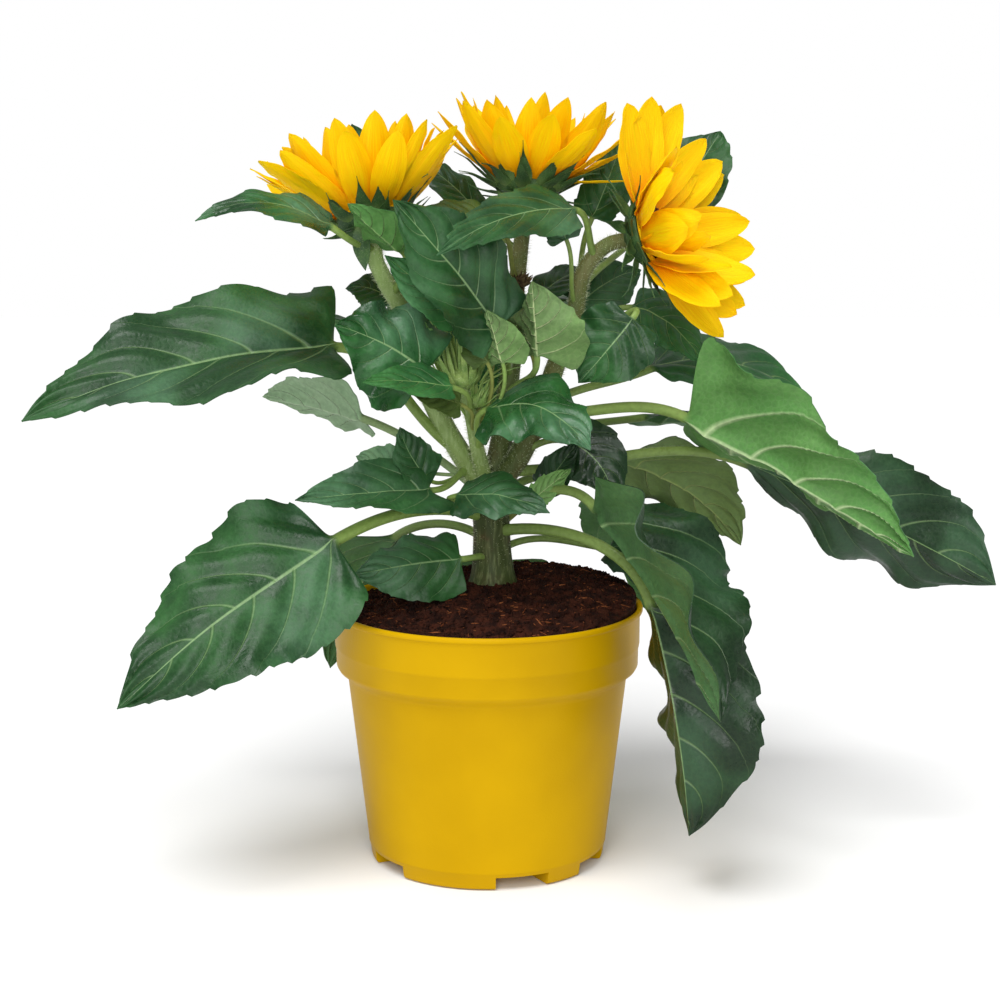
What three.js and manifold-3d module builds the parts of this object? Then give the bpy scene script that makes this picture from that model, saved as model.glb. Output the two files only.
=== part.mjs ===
// A compact branching sunflower in a round nursery pot.
// Millimetres, +Z up. The origin is the centre of the pot's flat underside.
// A viewer in front of the plant looks along +Y, with +X on the right.
import * as THREE from 'three';
import { mergeVertices } from 'three/addons/utils/BufferGeometryUtils.js';
import Module from 'manifold-3d';

const wasm = await Module();
wasm.setup();

// Driving dimensions of the pot
const rimRadius = 85.8;
const potHeight = 142.4;
const lipHeight = 3.2;
const lipRounding = 0.8;
const bandRadius = 84.2;
const bandUpright = 19;
const bandBottom = 109.5;
const bandBottomRadius = 83.2;
const bodyTop = 104;
const bodyTopRadius = 77.4;
const footRadius = 65;
const footRounding = 1.6;
const potWall = 1.8;
const footHeight = 7;
const potFacets = 36;
const channelWidthAngle = 26;
const channelInnerRadius = 44;
const channelAngles = [17, 63, 137, 183, 257, 303];
const channelOvershoot = 10;
const channelUndercut = 2;
const drainHoleRadius = 4;
const drainHoleInset = 3;
const drainHoleDepth = 20;
const drainHoleFacets = 12;

// Driving dimensions of the soil
const soilEdge = 139.4;
const soilCrest = 157;
const soilCrestPlace = [22, 16];
const soilSeatHeight = 154.5;
const soilSeatRadius = 15;
const soilSeatBlend = 10;
const soilRoundness = 0.9;
const soilLump = 1.1;
const soilLumpFade = 20;
const soilRings = 4;
const soilFacets = 28;

// A gap that every two touching pieces keep
const clearance = 0.3;

// Stems: the points of each axis and the radius at its foot and tip
const stemSides = 10;
const axisSamples = 80;
const stemNeck = 12;
const budNeck = 6;
const stems = {
  main: {
    name: 'main_stem', radii: [10.2, 9.8], flare: 3.4, flareLength: 9, steps: 8,
    axis: [[3, 0, soilSeatHeight + clearance], [2.5, 0, 178], [1.5, 0, 198], [1, 0, 214]],
  },
  left: {
    name: 'left_flower_stem', radii: [6.2, 4.2], steps: 9,
    axis: [[-1, -1, 206], [-15, -5, 227], [-31, -8, 259], [-42, -13, 297]], ends: 'left',
  },
  middle: {
    name: 'middle_flower_stem', radii: [6.4, 3.9], steps: 9,
    axis: [[2, 2, 206], [7, 6, 229], [12, 10, 265], [15, 12, 308]], ends: 'middle',
  },
  right: {
    name: 'right_flower_stem', radii: [6.3, 4.1], steps: 11,
    axis: [[4, -1, 206], [19, -1, 227], [34, 0, 265], [47, 0, 303], [52, 0, 325]], ends: 'right',
  },
  shoot: {
    name: 'centre_shoot', radii: [4.4, 3.2], steps: 5,
    axis: [[0, -4, 207], [-5, -12, 229], [-9, -18, 249]], ends: 'bud',
  },
};

// Flower heads: the middle of the disc's plane, the way it faces and how far the petals rise
const petalWidth = 20;
const petalThickness = 0.9;
const petalCount = 14;
const petalSpread = [13, -3];
const petalUneven = { heading: 0.15, length: 0.08, rise: 3 };
const petalBend = 14;
const petalCup = 0.22;
const petalWidest = 0.5;
const petalSteps = 3;
const petalRoot = 1.6;
const discRadius = 15;
const discProfile = [[1, 3.5], [0.86, 6.6], [0.55, 8], [0.25, 7.4], [0, 7]];
const ringRadii = [15.3, 20];
const ringHeight = 2.6;
const cupRadius = 20;
const cupDepth = 13;
const cupFootRadius = 5.4;
const cupWaist = { radius: 0.72, depth: 0.62 };
const cupLip = 2.4;
const bractCount = 10;
const bractLength = 26;
const bractWidth = 8;
const bractThickness = 0.8;
const bractCup = 0.2;
const bractWidest = 0.26;
const bractDroop = 16;
const bractBend = -14;
const bractRoot = { inset: 3, depth: 4 };
const headFacets = 16;
const bladeRootPower = 0.6;
const bladeRootWidth = 0.08;
const bladeLeastHalf = 0.5;
const heads = {
  left: {
    place: [-62, -22, 354.5], axis: [-0.18, 0.26, 1], length: 50, rise: 41, close: 0, turn: 4, seed: 3,
  },
  middle: {
    place: [22, 18, 372], axis: [0.1, 0.12, 1], length: 50, rise: 42, close: 0, turn: 11, seed: 8,
  },
  right: {
    place: [86, -12, 345.5], axis: [0.86, -0.38, 0.26], length: 57, rise: 31, close: 30, turn: 6, seed: 5,
  },
};

// Buds: a closed knob in pointed bracts
const budFacets = 12;
const knobProfile = [[0, 0], [0.42, 0], [0.95, 0.35], [1, 0.6], [0.6, 0.92], [0, 1]];
const budBract = { width: 0.62, root: 0.55, height: 0.3, rise: 66, bend: 10 };
const buds = [
  {
    name: 'centre_bud', place: [-12, -22, 265], axis: [-0.1, -0.15, 1],
    radius: 11, height: 16, bracts: 10, reach: 26,
  },
  {
    name: 'side_bud', place: [-5, -28, 256], axis: [0.3, -0.6, 0.7],
    radius: 5, height: 8, bracts: 6, reach: 12,
  },
];

// Leaves: stem and height of the petiole's foot, where the blade starts and its tip, the blade's width,
// how far its middle stands off the straight line, the way its upper side faces, how far the left and
// right halves rise from the midrib in degrees, how much they curl, and the radius of the petiole.
// Some rows also say how steeply the petiole starts, how far the lobes reach back, where the blade is
// widest, and how wide each half is at its root
const leaves = [
  {
    name: 'leaf_left_long', stem: 'left', height: 229, base: [-80, -22, 286], tip: [-236, -75, 253],
    width: 88, bow: [0, 0, 10], face: [0.05, -0.6, 0.8], wings: [10, 16], curl: -14,
    petiole: 3.4, spring: 0.6, heart: 0.3, widest: 0.34, roots: [0.45, 0.9],
  },
  {
    name: 'leaf_left_pale', stem: 'main', height: 200, base: [-70, 40, 240], tip: [-131, 78, 248],
    width: 50, bow: [0, 0, 2], face: [0.1, 0.75, 0.6], wings: [5, 22], curl: -10,
    petiole: 2.8,
  },
  {
    name: 'leaf_left_low', stem: 'main', height: 190, base: [-79, -55, 188], tip: [-187, -102, 110],
    width: 88, bow: [0, -6, 6], face: [-0.2, -0.75, 0.65], wings: [-16, 12], curl: -8,
    petiole: 3.9, spring: 0.4, heart: 0.1, widest: 0.26,
  },
  {
    name: 'leaf_left_small', stem: 'left', height: 219, base: [-30, -34, 211], tip: [-99, -66, 211],
    width: 44, bow: [0, 0, 1], face: [0.3, -0.4, 0.85], wings: [14, 30], curl: -10,
    petiole: 2.1, spring: -0.2, heart: 1, widest: 0.1,
  },
  {
    name: 'leaf_on_soil', stem: 'main', height: 167, base: [-14, -20, 171], tip: [-72, -34, 165],
    width: 46, bow: [0, 0, 1], face: [-0.1, -0.9, 0.45], wings: [-4, -24], curl: -8,
    petiole: 2.1, spring: 0.5,
  },
  {
    name: 'leaf_front_small', stem: 'main', height: 200, base: [-16, -46, 210], tip: [32, -70, 205],
    width: 34, bow: [0, -2, 5], face: [0, -0.65, 0.8], wings: [0, 4], curl: -14,
    petiole: 1.8, spring: 0.2,
  },
  {
    name: 'leaf_front_shiny', stem: 'shoot', height: 230, base: [0, -40, 255], tip: [52, -80, 239],
    width: 54, bow: [4, -2, 10], face: [0.1, -0.7, 1], wings: [4, 2], curl: -22,
    petiole: 2,
  },
  {
    name: 'leaf_right_folded', stem: 'main', height: 199, base: [56, -64, 206], tip: [114, -136, 113],
    width: 116, bow: [0, -4, 5], face: [0.18, -0.71, 0.67], wings: [-4, 84], curl: -8,
    petiole: 3.2, spring: 0.2, heart: 0.1, widest: 0.42,
  },
  {
    name: 'leaf_right_hanging', stem: 'main', height: 182, base: [85, -66, 155], tip: [105, -84, 37],
    width: 92, bow: [2, -10, 2], face: [-0.2, -1, 0.2], wings: [8, -60], curl: -10,
    petiole: 3.6, spring: 0.3, widest: 0.52, roots: [0.7, 0.12],
  },
  {
    name: 'leaf_right_olive', stem: 'main', height: 183, base: [76, 46, 216], tip: [151, 88, 158],
    width: 74, bow: [4, 4, 9], face: [0.1, 0.65, 0.8], wings: [10, 4], curl: -12,
    petiole: 2.9, spring: 0.6,
  },
  {
    name: 'leaf_right_far', stem: 'right', height: 216, base: [143, 18, 218], tip: [284, 12, 150],
    width: 84, bow: [4, 0, 1], face: [-0.1, -0.85, 0.5], wings: [4, -68], curl: -10,
    petiole: 3.3, spring: 0, heart: 0, widest: 0.6, shoulder: 1.5,
  },
  {
    name: 'leaf_right_ribbed', stem: 'right', height: 247, base: [106, -20, 248], tip: [221, -64, 181],
    width: 94, bow: [5, 0, 1], face: [0.1, 0.85, 0.5], wings: [52, 4], curl: -8,
    petiole: 3.5, spring: 0.05, heart: 0.7, widest: 0.2, roots: [0.5, 0.95],
  },
  {
    name: 'leaf_right_behind', stem: 'right', height: 252, base: [92, 42, 268], tip: [189, 88, 249],
    width: 60, bow: [0, 0, 15], face: [-0.1, -0.5, 0.9], wings: [4, 10], curl: -16,
    petiole: 2.8, spring: 0.4, widest: 0.5,
  },
  {
    name: 'leaf_right_round', stem: 'right', height: 271, base: [76, -34, 302], tip: [48, -32, 268],
    width: 42, bow: [2, -3, 2], face: [0.1, -0.9, 0.4], wings: [4, 4], curl: -14,
    petiole: 2.1, widest: 0.45,
  },
  {
    name: 'leaf_young_pale', stem: 'middle', height: 257, base: [26, -38, 283], tip: [23, -44, 322],
    width: 52, bow: [0, -4, 0], face: [0, 0.9, 0.3], wings: [-4, 66], curl: 4,
    petiole: 2, heart: 0.9,
  },
  {
    name: 'leaf_top_level', stem: 'right', height: 333, base: [46, -24, 358], tip: [-25, -84, 337],
    width: 36, bow: [0, 0, 8], face: [0.1, -0.75, 0.75], wings: [4, 4], curl: -16,
    petiole: 2.2,
  },
  {
    name: 'leaf_top_folded', stem: 'left', height: 313, base: [-44, -48, 338], tip: [-70, -66, 362],
    width: 36, bow: [0, -2, 0], face: [0.2, 0.6, 0.7], wings: [10, 20], curl: 0,
    petiole: 2.1,
  },
  {
    name: 'leaf_top_broad', stem: 'middle', height: 268, base: [6, -44, 297], tip: [-47, -74, 364],
    width: 56, bow: [4, -4, -1], face: [0.2, -0.85, 0.5], wings: [10, 10], curl: -12,
    petiole: 2.4, heart: 0.5, widest: 0.45,
  },
  {
    name: 'leaf_left_shiny', stem: 'left', height: 254, base: [-31, -56, 276], tip: [-77, -70, 301],
    width: 60, bow: [0, 0, 4], face: [-0.1, -0.8, 0.7], wings: [-25, 6], curl: -14,
    petiole: 2.1, widest: 0.22,
  },
  {
    name: 'leaf_left_light', stem: 'shoot', height: 245, base: [-18, -62, 269], tip: [-62, -86, 274],
    width: 26, bow: [0, 0, 2], face: [0, -0.6, 0.8], wings: [8, 8], curl: -8,
    petiole: 1.7, spring: 0.4,
  },
  {
    name: 'leaf_by_left_flower', stem: 'left', height: 338, base: [-79, -56, 350], tip: [-146, -72, 353.5],
    width: 34, bow: [0, 0, 11], face: [-0.1, -0.6, 0.8], wings: [20, -8], curl: -10,
    petiole: 2.2, spring: 0.1,
  },
  {
    name: 'leaf_behind_right_flower', stem: 'right', height: 315, base: [94, 50, 352], tip: [131, 60, 400],
    width: 48, bow: [6, 0, 6], face: [-0.4, -0.9, 0.4], wings: [4, 4], curl: -10,
    petiole: 2.2,
  },
  {
    name: 'leaf_left_of_right_flower', stem: 'right', height: 304, base: [58, 38, 352], tip: [74, 50, 394],
    width: 30, bow: [2, 0, 2], face: [-0.3, -0.8, 0.3], wings: [6, 6], curl: -8,
    petiole: 1.8,
  },
  {
    name: 'leaf_behind_left_flower', stem: 'left', height: 300, base: [-66, 46, 352], tip: [-76, 60, 404],
    width: 44, bow: [0, 6, 2], face: [0.1, -0.9, 0.3], wings: [4, 4], curl: -6,
    petiole: 2.1,
  },
  {
    name: 'leaf_between_dark', stem: 'middle', height: 334, base: [-6, 34, 356], tip: [-40, 48, 384],
    width: 28, bow: [0, 0, 3], face: [0.3, -0.6, 0.7], wings: [4, 4], curl: -10,
    petiole: 1.8,
  },
  {
    name: 'leaf_between_olive', stem: 'middle', height: 320, base: [4, -12, 350], tip: [-34, -24, 358],
    width: 24, bow: [0, 0, 3], face: [0.1, -0.5, 0.8], wings: [8, 8], curl: -8,
    petiole: 1.8,
  },
  {
    name: 'leaf_behind_gap', stem: 'middle', height: 275, base: [52, 46, 304], tip: [88, 68, 322],
    width: 40, bow: [0, 0, 4], face: [-0.2, -0.8, 0.6], wings: [4, 4], curl: -8,
    petiole: 1.9,
  },
  {
    name: 'leaf_behind_striped', stem: 'middle', height: 289, base: [32, 38, 312], tip: [62, 58, 322],
    width: 28, bow: [0, 0, 4], face: [-0.1, -0.4, 0.9], wings: [4, 4], curl: -8,
    petiole: 1.8,
  },
  {
    name: 'leaf_under_right_flower', stem: 'right', height: 283, base: [80, 22, 304], tip: [120, 6, 272],
    width: 44, bow: [0, 0, 8], face: [0.2, -0.7, 0.8], wings: [4, 4], curl: -14,
    petiole: 2,
  },
  {
    name: 'leaf_dark_inner', stem: 'right', height: 226, base: [44, -13, 234], tip: [68, -31, 202],
    width: 38, bow: [4, 0, 5], face: [0.2, -0.9, 0.2], wings: [4, 4], curl: -8,
    petiole: 2.1,
  },
  {
    name: 'leaf_low_right', stem: 'main', height: 169, base: [68, 26, 168], tip: [108, 4, 124],
    width: 34, bow: [4, 0, 10], face: [0.5, -0.6, 0.6], wings: [4, 4], curl: -8,
    petiole: 2.3,
  },
  {
    name: 'leaf_behind_left_stem', stem: 'left', height: 275, base: [-52, 14, 308], tip: [-78, 24, 314],
    width: 28, bow: [0, 0, 4], face: [0, -0.7, 0.8], wings: [4, 4], curl: -8,
    petiole: 1.8,
  },
  {
    name: 'leaf_back_hanging', stem: 'main', height: 174, base: [4, 104, 146], tip: [8, 142, 44],
    width: 84, bow: [0, 14, 6], face: [0, 1, 0.4], wings: [4, 4], curl: -12,
    petiole: 3.3,
  },
  {
    name: 'leaf_back_left_low', stem: 'main', height: 176, base: [-53, 64, 168], tip: [-98, 130, 72],
    width: 74, bow: [-4, 12, 8], face: [-0.3, 0.8, 0.6], wings: [4, 4], curl: -14,
    petiole: 3.1, spring: 0.4,
  },
  {
    name: 'leaf_back_right_low', stem: 'main', height: 198, base: [76, 92, 186], tip: [122, 156, 74],
    width: 72, bow: [6, 10, 10], face: [0.4, 0.7, 0.7], wings: [4, 4], curl: -14,
    petiole: 3.2, spring: 0.5, heart: 0.1,
  },
  {
    name: 'leaf_back_left_long', stem: 'left', height: 243, base: [-70, 54, 291], tip: [-176, 106, 268],
    width: 68, bow: [0, 0, 14], face: [0, 0.2, 1], wings: [6, 6], curl: -18,
    petiole: 2.9,
  },
  {
    name: 'leaf_back_right_long', stem: 'middle', height: 225, base: [92, 94, 234], tip: [206, 132, 186],
    width: 70, bow: [0, 4, 14], face: [0, 0.2, 1], wings: [6, 6], curl: -18,
    petiole: 2.9, spring: 0.3,
  },
  {
    name: 'leaf_back_upper_left', stem: 'middle', height: 251, base: [-12, 66, 296], tip: [-56, 146, 268],
    width: 66, bow: [0, 6, 12], face: [-0.1, 0.4, 1], wings: [6, 6], curl: -18,
    petiole: 2.6,
  },
  {
    name: 'leaf_back_upper_right', stem: 'middle', height: 265, base: [38, 72, 304], tip: [72, 154, 274],
    width: 66, bow: [0, 6, 12], face: [0.1, 0.4, 1], wings: [6, 6], curl: -18,
    petiole: 2.6,
  },
];
const leafColumns = 5;
const petioleRings = 3;
const leafWidest = 0.28;
const leafRoots = [0.5, 0.5];
const leafShoulder = 0.5;
const leafHeart = 0.35;
const leafHeartReach = 0.45;
const leafHeartPower = 1.5;
const leafSpring = 0.7;
const leafTipPowers = [1.7, 1.1];
const leafRib = 0.55;
const petiolePulls = [0.38, 0.34];
const leafThinness = 1 / 90;
const leafLeastThickness = 0.9;
const leafTipHalfWidth = 0.8;
const bladeSteps = [0, 0.07, 0.2, 0.42, 0.68, 0.9, 1];
const smallBladeSteps = [0, 0.09, 0.35, 0.7, 1];
const smallLeafLength = 62;
const blendLength = 0.07;

// Finishes
const finishes = {
  pot: { color: 0xe0b010, roughness: 0.42 },
  soil: { color: 0x2e170e, roughness: 0.98 },
  stem: { color: 0x8aa052, roughness: 0.7 },
  leaf: { color: 0x35603a, roughness: 0.45 },
  petal: { color: 0xffc505, roughness: 0.55 },
  disc: { color: 0x4a2412, roughness: 0.9 },
  bract: { color: 0x567a35, roughness: 0.65 },
};
const materials = {};
for (const [slot, finish] of Object.entries(finishes)) {
  materials[slot] = new THREE.MeshStandardMaterial({ ...finish, metalness: 0 });
}

const up = new THREE.Vector3(0, 0, 1);
const plant = new THREE.Group();

function vector([x, y, z]) {
  return new THREE.Vector3(x, y, z);
}

function radians(degrees) {
  return THREE.MathUtils.degToRad(degrees);
}

// Smooth step from 0 to 1 as x goes from 0 to 1
function ease(x) {
  return THREE.MathUtils.smoothstep(x, 0, 1);
}

// A repeatable number between -1 and 1 for each pair of whole numbers
function jitter(seed, index) {
  const wave = Math.sin(seed * 127.1 + index * 311.7) * 43758.5453;
  return 2 * (wave - Math.floor(wave)) - 1;
}

// Six times the volume that a triangle soup encloses, negative when it is inside out
function signedVolume(points, faces) {
  let total = 0;
  for (let i = 0; i < faces.length; i += 3) {
    const [a, b, c] = [points[faces[i]], points[faces[i + 1]], points[faces[i + 2]]];
    total += a.dot(b.clone().cross(c));
  }
  return total;
}

// A closed skin over rings of equally many points, with a flat fan on each end
function loft(rings) {
  const sides = rings[0].length;
  const points = rings.flat();
  const faces = [];
  for (let r = 0; r < rings.length - 1; r += 1) {
    for (let s = 0; s < sides; s += 1) {
      const a = r * sides + s;
      const b = r * sides + ((s + 1) % sides);
      faces.push(a, b, b + sides, a, b + sides, a + sides);
    }
  }
  for (const [first, turned] of [[0, true], [(rings.length - 1) * sides, false]]) {
    const middle = points.length;
    const ring = points.slice(first, first + sides);
    points.push(ring.reduce((sum, p) => sum.add(p), new THREE.Vector3()).divideScalar(sides));
    for (let s = 0; s < sides; s += 1) {
      const a = first + s;
      const b = first + ((s + 1) % sides);
      faces.push(middle, turned ? b : a, turned ? a : b);
    }
  }
  if (signedVolume(points, faces) < 0) faces.reverse();
  const geometry = new THREE.BufferGeometry();
  geometry.setAttribute('position', new THREE.Float32BufferAttribute(points.flatMap((p) => p.toArray()), 3));
  geometry.setIndex(faces);
  return geometry;
}

// A geometry as a solid that can be joined and cut
function solid(geometry) {
  const bare = geometry.clone();
  bare.deleteAttribute('normal');
  bare.deleteAttribute('uv');
  const merged = mergeVertices(bare, 1e-4);
  return new wasm.Manifold(new wasm.Mesh({
    numProp: 3,
    vertProperties: new Float32Array(merged.attributes.position.array),
    triVerts: new Uint32Array(merged.index.array),
  }));
}

// The largest single body of a solid, so that no scrap is left beside a piece that was cut
function mainBody(body) {
  const bodies = body.decompose();
  return bodies.reduce((best, next) => (next.volume() > best.volume() ? next : best));
}

function addSolid(name, body, slot) {
  const mesh = mainBody(body).getMesh();
  const geometry = new THREE.BufferGeometry();
  geometry.setAttribute('position', new THREE.Float32BufferAttribute(mesh.vertProperties, 3));
  geometry.setIndex(Array.from(mesh.triVerts));
  geometry.computeVertexNormals();
  const piece = new THREE.Mesh(geometry, materials[slot]);
  piece.name = name;
  plant.add(piece);
}

// A turned body about +Z from [radius, height] pairs that start and end on the axis
function turned(profile, facets) {
  const points = profile.map(([radius, height]) => new THREE.Vector2(radius, height));
  const geometry = new THREE.LatheGeometry(points, facets);
  geometry.rotateX(Math.PI / 2);
  return solid(geometry);
}

// A body that was made about +Z, turned to an axis and moved to a place
function placed(body, place, axis) {
  const turn = new THREE.Quaternion().setFromUnitVectors(up, vector(axis).normalize());
  const matrix = new THREE.Matrix4().compose(vector(place), turn, new THREE.Vector3(1, 1, 1));
  return body.transform(matrix.elements);
}

// Pot: a tapered cup with a rim band, on a foot ring that three long and three short feet leave

function potOuter() {
  const bandTop = potHeight - lipHeight;
  return turned([
    [0, 0], [footRadius - footRounding, 0], [footRadius, footRounding], [bodyTopRadius, bodyTop],
    [bandBottomRadius, bandBottom], [bandRadius, bandTop - bandUpright], [bandRadius, bandTop],
    [rimRadius, bandTop + lipRounding], [rimRadius, potHeight - lipRounding],
    [rimRadius - lipRounding, potHeight], [0, potHeight],
  ], potFacets);
}

// The space inside the pot, drawn in from the walls by a further inset
function potInner(inset, top) {
  const wall = potWall + inset;
  const bodySlope = (bodyTopRadius - footRadius) / (bodyTop - footRounding);
  return turned([
    [0, wall], [footRadius + bodySlope * wall - wall, wall],
    [bodyTopRadius - wall, bodyTop + wall], [bandBottomRadius - wall, bandBottom + wall],
    [bandRadius - wall, top], [0, top],
  ], potFacets);
}

// The drainage channels under the floor, grown by a margin upward, inward and to both sides
function channels(margin) {
  const start = channelInnerRadius - margin;
  const end = footRadius + channelOvershoot;
  const halfAngle = radians(channelWidthAngle / 2);
  const bodies = channelAngles.map((angle) => {
    const nearHalf = channelInnerRadius * Math.tan(halfAngle) + margin;
    const farHalf = end * Math.tan(halfAngle) + margin;
    const outline = new THREE.Shape([
      new THREE.Vector2(start, -nearHalf),
      new THREE.Vector2(end, -farHalf),
      new THREE.Vector2(end, farHalf),
      new THREE.Vector2(start, nearHalf),
    ]);
    const depth = footHeight + channelUndercut + margin;
    const block = new THREE.ExtrudeGeometry(outline, { depth, bevelEnabled: false });
    block.translate(0, 0, -channelUndercut);
    block.rotateZ(radians(angle - 90));
    return solid(block);
  });
  return bodies.reduce((all, next) => all.add(next));
}

function drainHoles() {
  const reach = channelInnerRadius + drainHoleRadius + drainHoleInset;
  const bodies = channelAngles.map((angle) => {
    const bore = new THREE.CylinderGeometry(
      drainHoleRadius, drainHoleRadius, drainHoleDepth, drainHoleFacets,
    );
    bore.rotateX(Math.PI / 2);
    bore.translate(reach * Math.sin(radians(angle)), -reach * Math.cos(radians(angle)), 0);
    return solid(bore);
  });
  return bodies.reduce((all, next) => all.add(next));
}

function buildPot() {
  const outer = potOuter();
  const shell = outer.subtract(potInner(0, potHeight + 1));
  const roofs = channels(potWall).intersect(outer);
  addSolid('pot', shell.add(roofs).subtract(channels(0)).subtract(drainHoles()), 'pot');
}

// Soil: fills the pot and rises in an uneven mound, with a flat seat under the main stem

function soilHeight(x, y) {
  const offset = Math.hypot(x - soilCrestPlace[0], y - soilCrestPlace[1]) / rimRadius;
  const hill = Math.cos((Math.min(offset, 1) * Math.PI) / 2) ** soilRoundness;
  const mound = THREE.MathUtils.lerp(soilEdge, soilCrest, hill);
  const edge = THREE.MathUtils.clamp((rimRadius - Math.hypot(x, y)) / soilLumpFade, 0, 1);
  const lumps = soilLump * edge * Math.sin(x * 0.19 + 1) * Math.cos(y * 0.23 - x * 0.07);
  const [seatX, seatY] = stems.main.axis[0];
  const seat = ease((Math.hypot(x - seatX, y - seatY) - soilSeatRadius) / soilSeatBlend);
  return THREE.MathUtils.lerp(soilSeatHeight, mound + lumps, seat);
}

function buildSoil() {
  const [seatX, seatY] = stems.main.axis[0];
  const outerRadius = rimRadius + potWall;
  const rings = [];
  for (let r = 0; r <= soilRings; r += 1) {
    const part = r / soilRings;
    const radius = THREE.MathUtils.lerp(soilSeatRadius, outerRadius, part);
    const shift = 1 - part;
    const ring = [];
    for (let s = 0; s < soilFacets; s += 1) {
      const angle = (2 * Math.PI * s) / soilFacets;
      const x = seatX * shift + radius * Math.cos(angle);
      const y = seatY * shift + radius * Math.sin(angle);
      ring.push(new THREE.Vector3(x, y, soilHeight(x, y)));
    }
    rings.push(ring);
  }
  const under = rings[soilRings].map((p) => new THREE.Vector3(p.x, p.y, -1));
  const mound = solid(loft([...rings, under]));
  const body = potInner(clearance, potHeight + 20).intersect(mound);
  addSolid('soil', body.subtract(channels(potWall + clearance)), 'soil');
}

// Stems

// A point behind a head or bud on its own axis
function behind({ place, axis }, distance) {
  return vector(place).addScaledVector(vector(axis).normalize(), -distance);
}

// The axis of a stem, which ends square to the foot of the head or bud that it carries
function stemCurve(stem) {
  const points = stem.axis.map(vector);
  if (stem.ends === 'bud') points.push(behind(buds[0], budNeck), behind(buds[0], clearance));
  else if (stem.ends) {
    const head = heads[stem.ends];
    points.push(behind(head, cupDepth + stemNeck), behind(head, cupDepth + clearance));
  }
  return new THREE.CatmullRomCurve3(points);
}

// A tapering limb of round section, made thicker all round by a margin
function stemSolid(stem, margin) {
  const curve = stemCurve(stem);
  const rings = [];
  for (let i = 0; i <= stem.steps; i += 1) {
    const part = i / stem.steps;
    const centre = curve.getPointAt(part);
    const along = i === 0 && stem.flare ? up : curve.getTangentAt(part);
    const side = new THREE.Vector3(0, 1, 0).cross(along).normalize();
    const other = along.clone().cross(side);
    const distance = part * curve.getLength();
    const foot = stem.flare ? stem.flare * Math.exp(-distance / stem.flareLength) : 0;
    const radius = THREE.MathUtils.lerp(stem.radii[0], stem.radii[1], part) + foot + margin;
    const ring = [];
    for (let s = 0; s < stemSides; s += 1) {
      const angle = (2 * Math.PI * s) / stemSides;
      const point = centre.clone().addScaledVector(side, radius * Math.cos(angle));
      ring.push(point.addScaledVector(other, radius * Math.sin(angle)));
    }
    rings.push(ring);
  }
  return solid(loft(rings));
}

// Each stem gives way to the ones before it, so that limbs meet at the fork without touching
function buildStems() {
  const before = [];
  for (const stem of Object.values(stems)) {
    let body = stemSolid(stem, 0);
    for (const other of before) body = body.subtract(stemSolid(other, clearance));
    addSolid(stem.name, body, 'stem');
    before.push(stem);
  }
}

// The point of a stem's axis at a height
function axisPoint(stem, height) {
  const points = stemCurve(stem).getSpacedPoints(axisSamples);
  const miss = (point) => Math.abs(point.z - height);
  return points.reduce((best, next) => (miss(next) < miss(best) ? next : best));
}

// Leaves

// Half the width of the blade a part of the way to its tip: a quarter ellipse from the root to the
// widest place, and from there a curve that narrows to a point
function bladeHalfWidth(leaf, part, across) {
  const widest = leaf.widest ?? leafWidest;
  const [leftRoot, rightRoot] = leaf.roots ?? leafRoots;
  const root = across < 0 ? leftRoot : rightRoot;
  const back = Math.max(0, (widest - part) / widest);
  const ahead = Math.max(0, (part - widest) / (1 - widest));
  const behindWidest = (1 - (1 - root * root) * back * back) ** (leaf.shoulder ?? leafShoulder);
  const shape = behindWidest * (1 - ahead ** leafTipPowers[0]) ** leafTipPowers[1];
  return Math.max((leaf.width / 2) * shape, leafTipHalfWidth);
}

// The way the upper skin faces on one half of the blade, a part of the way from midrib to edge
function halfNormal(leaf, across, outward, right, normal) {
  const wing = across < 0 ? leaf.wings[0] : leaf.wings[1];
  const slope = radians(wing + leaf.curl * outward);
  const turnedAway = right.clone().multiplyScalar(-Math.sign(across) * Math.sin(slope));
  return turnedAway.addScaledVector(normal, Math.cos(slope));
}

// One station of a leaf: a round section that turns into a folded blade as blend goes from 0 to 1
function leafRing(leaf, centre, along, part, blend) {
  const face = vector(leaf.face);
  const normal = face.addScaledVector(along, -face.dot(along)).normalize();
  const right = along.clone().cross(normal);
  const length = vector(leaf.base).distanceTo(vector(leaf.tip));
  const thickness = Math.max(length * leafThinness, leafLeastThickness);
  const backward = (leaf.heart ?? leafHeart) * Math.max(0, 1 - part / leafHeartReach) ** leafHeartPower;
  const rib = leaf.petiole * leafRib * (1 - part);
  const ring = [];
  const crease = halfNormal(leaf, -1, 0, right, normal);
  crease.add(halfNormal(leaf, 1, 0, right, normal)).normalize();
  for (const side of [1, -1]) {
    for (let c = 0; c < leafColumns; c += 1) {
      const column = side > 0 ? c : leafColumns - 1 - c;
      const across = (2 * column) / (leafColumns - 1) - 1;
      const outward = Math.abs(across);
      const half = Math.max(bladeHalfWidth(leaf, part, across), leaf.petiole * (1 - part));
      const wing = across < 0 ? leaf.wings[0] : leaf.wings[1];
      const lift = radians(wing + (leaf.curl * outward) / 2);
      const skin = side * (thickness / 2 + (across === 0 && side < 0 ? rib : 0));
      const facing = across === 0 ? crease : halfNormal(leaf, across, outward, right, normal);
      const blade = centre.clone().addScaledVector(right, half * across * Math.cos(lift));
      blade.addScaledVector(normal, half * outward * Math.sin(lift));
      blade.addScaledVector(facing, skin);
      blade.addScaledVector(along, -backward * half * outward ** leafHeartPower);
      const angle = side * Math.PI * (1 - (column + 0.5) / leafColumns);
      const round = centre.clone().addScaledVector(right, leaf.petiole * Math.cos(angle));
      round.addScaledVector(normal, leaf.petiole * Math.sin(angle));
      ring.push(round.lerp(blade, blend));
    }
  }
  return ring;
}

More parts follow.
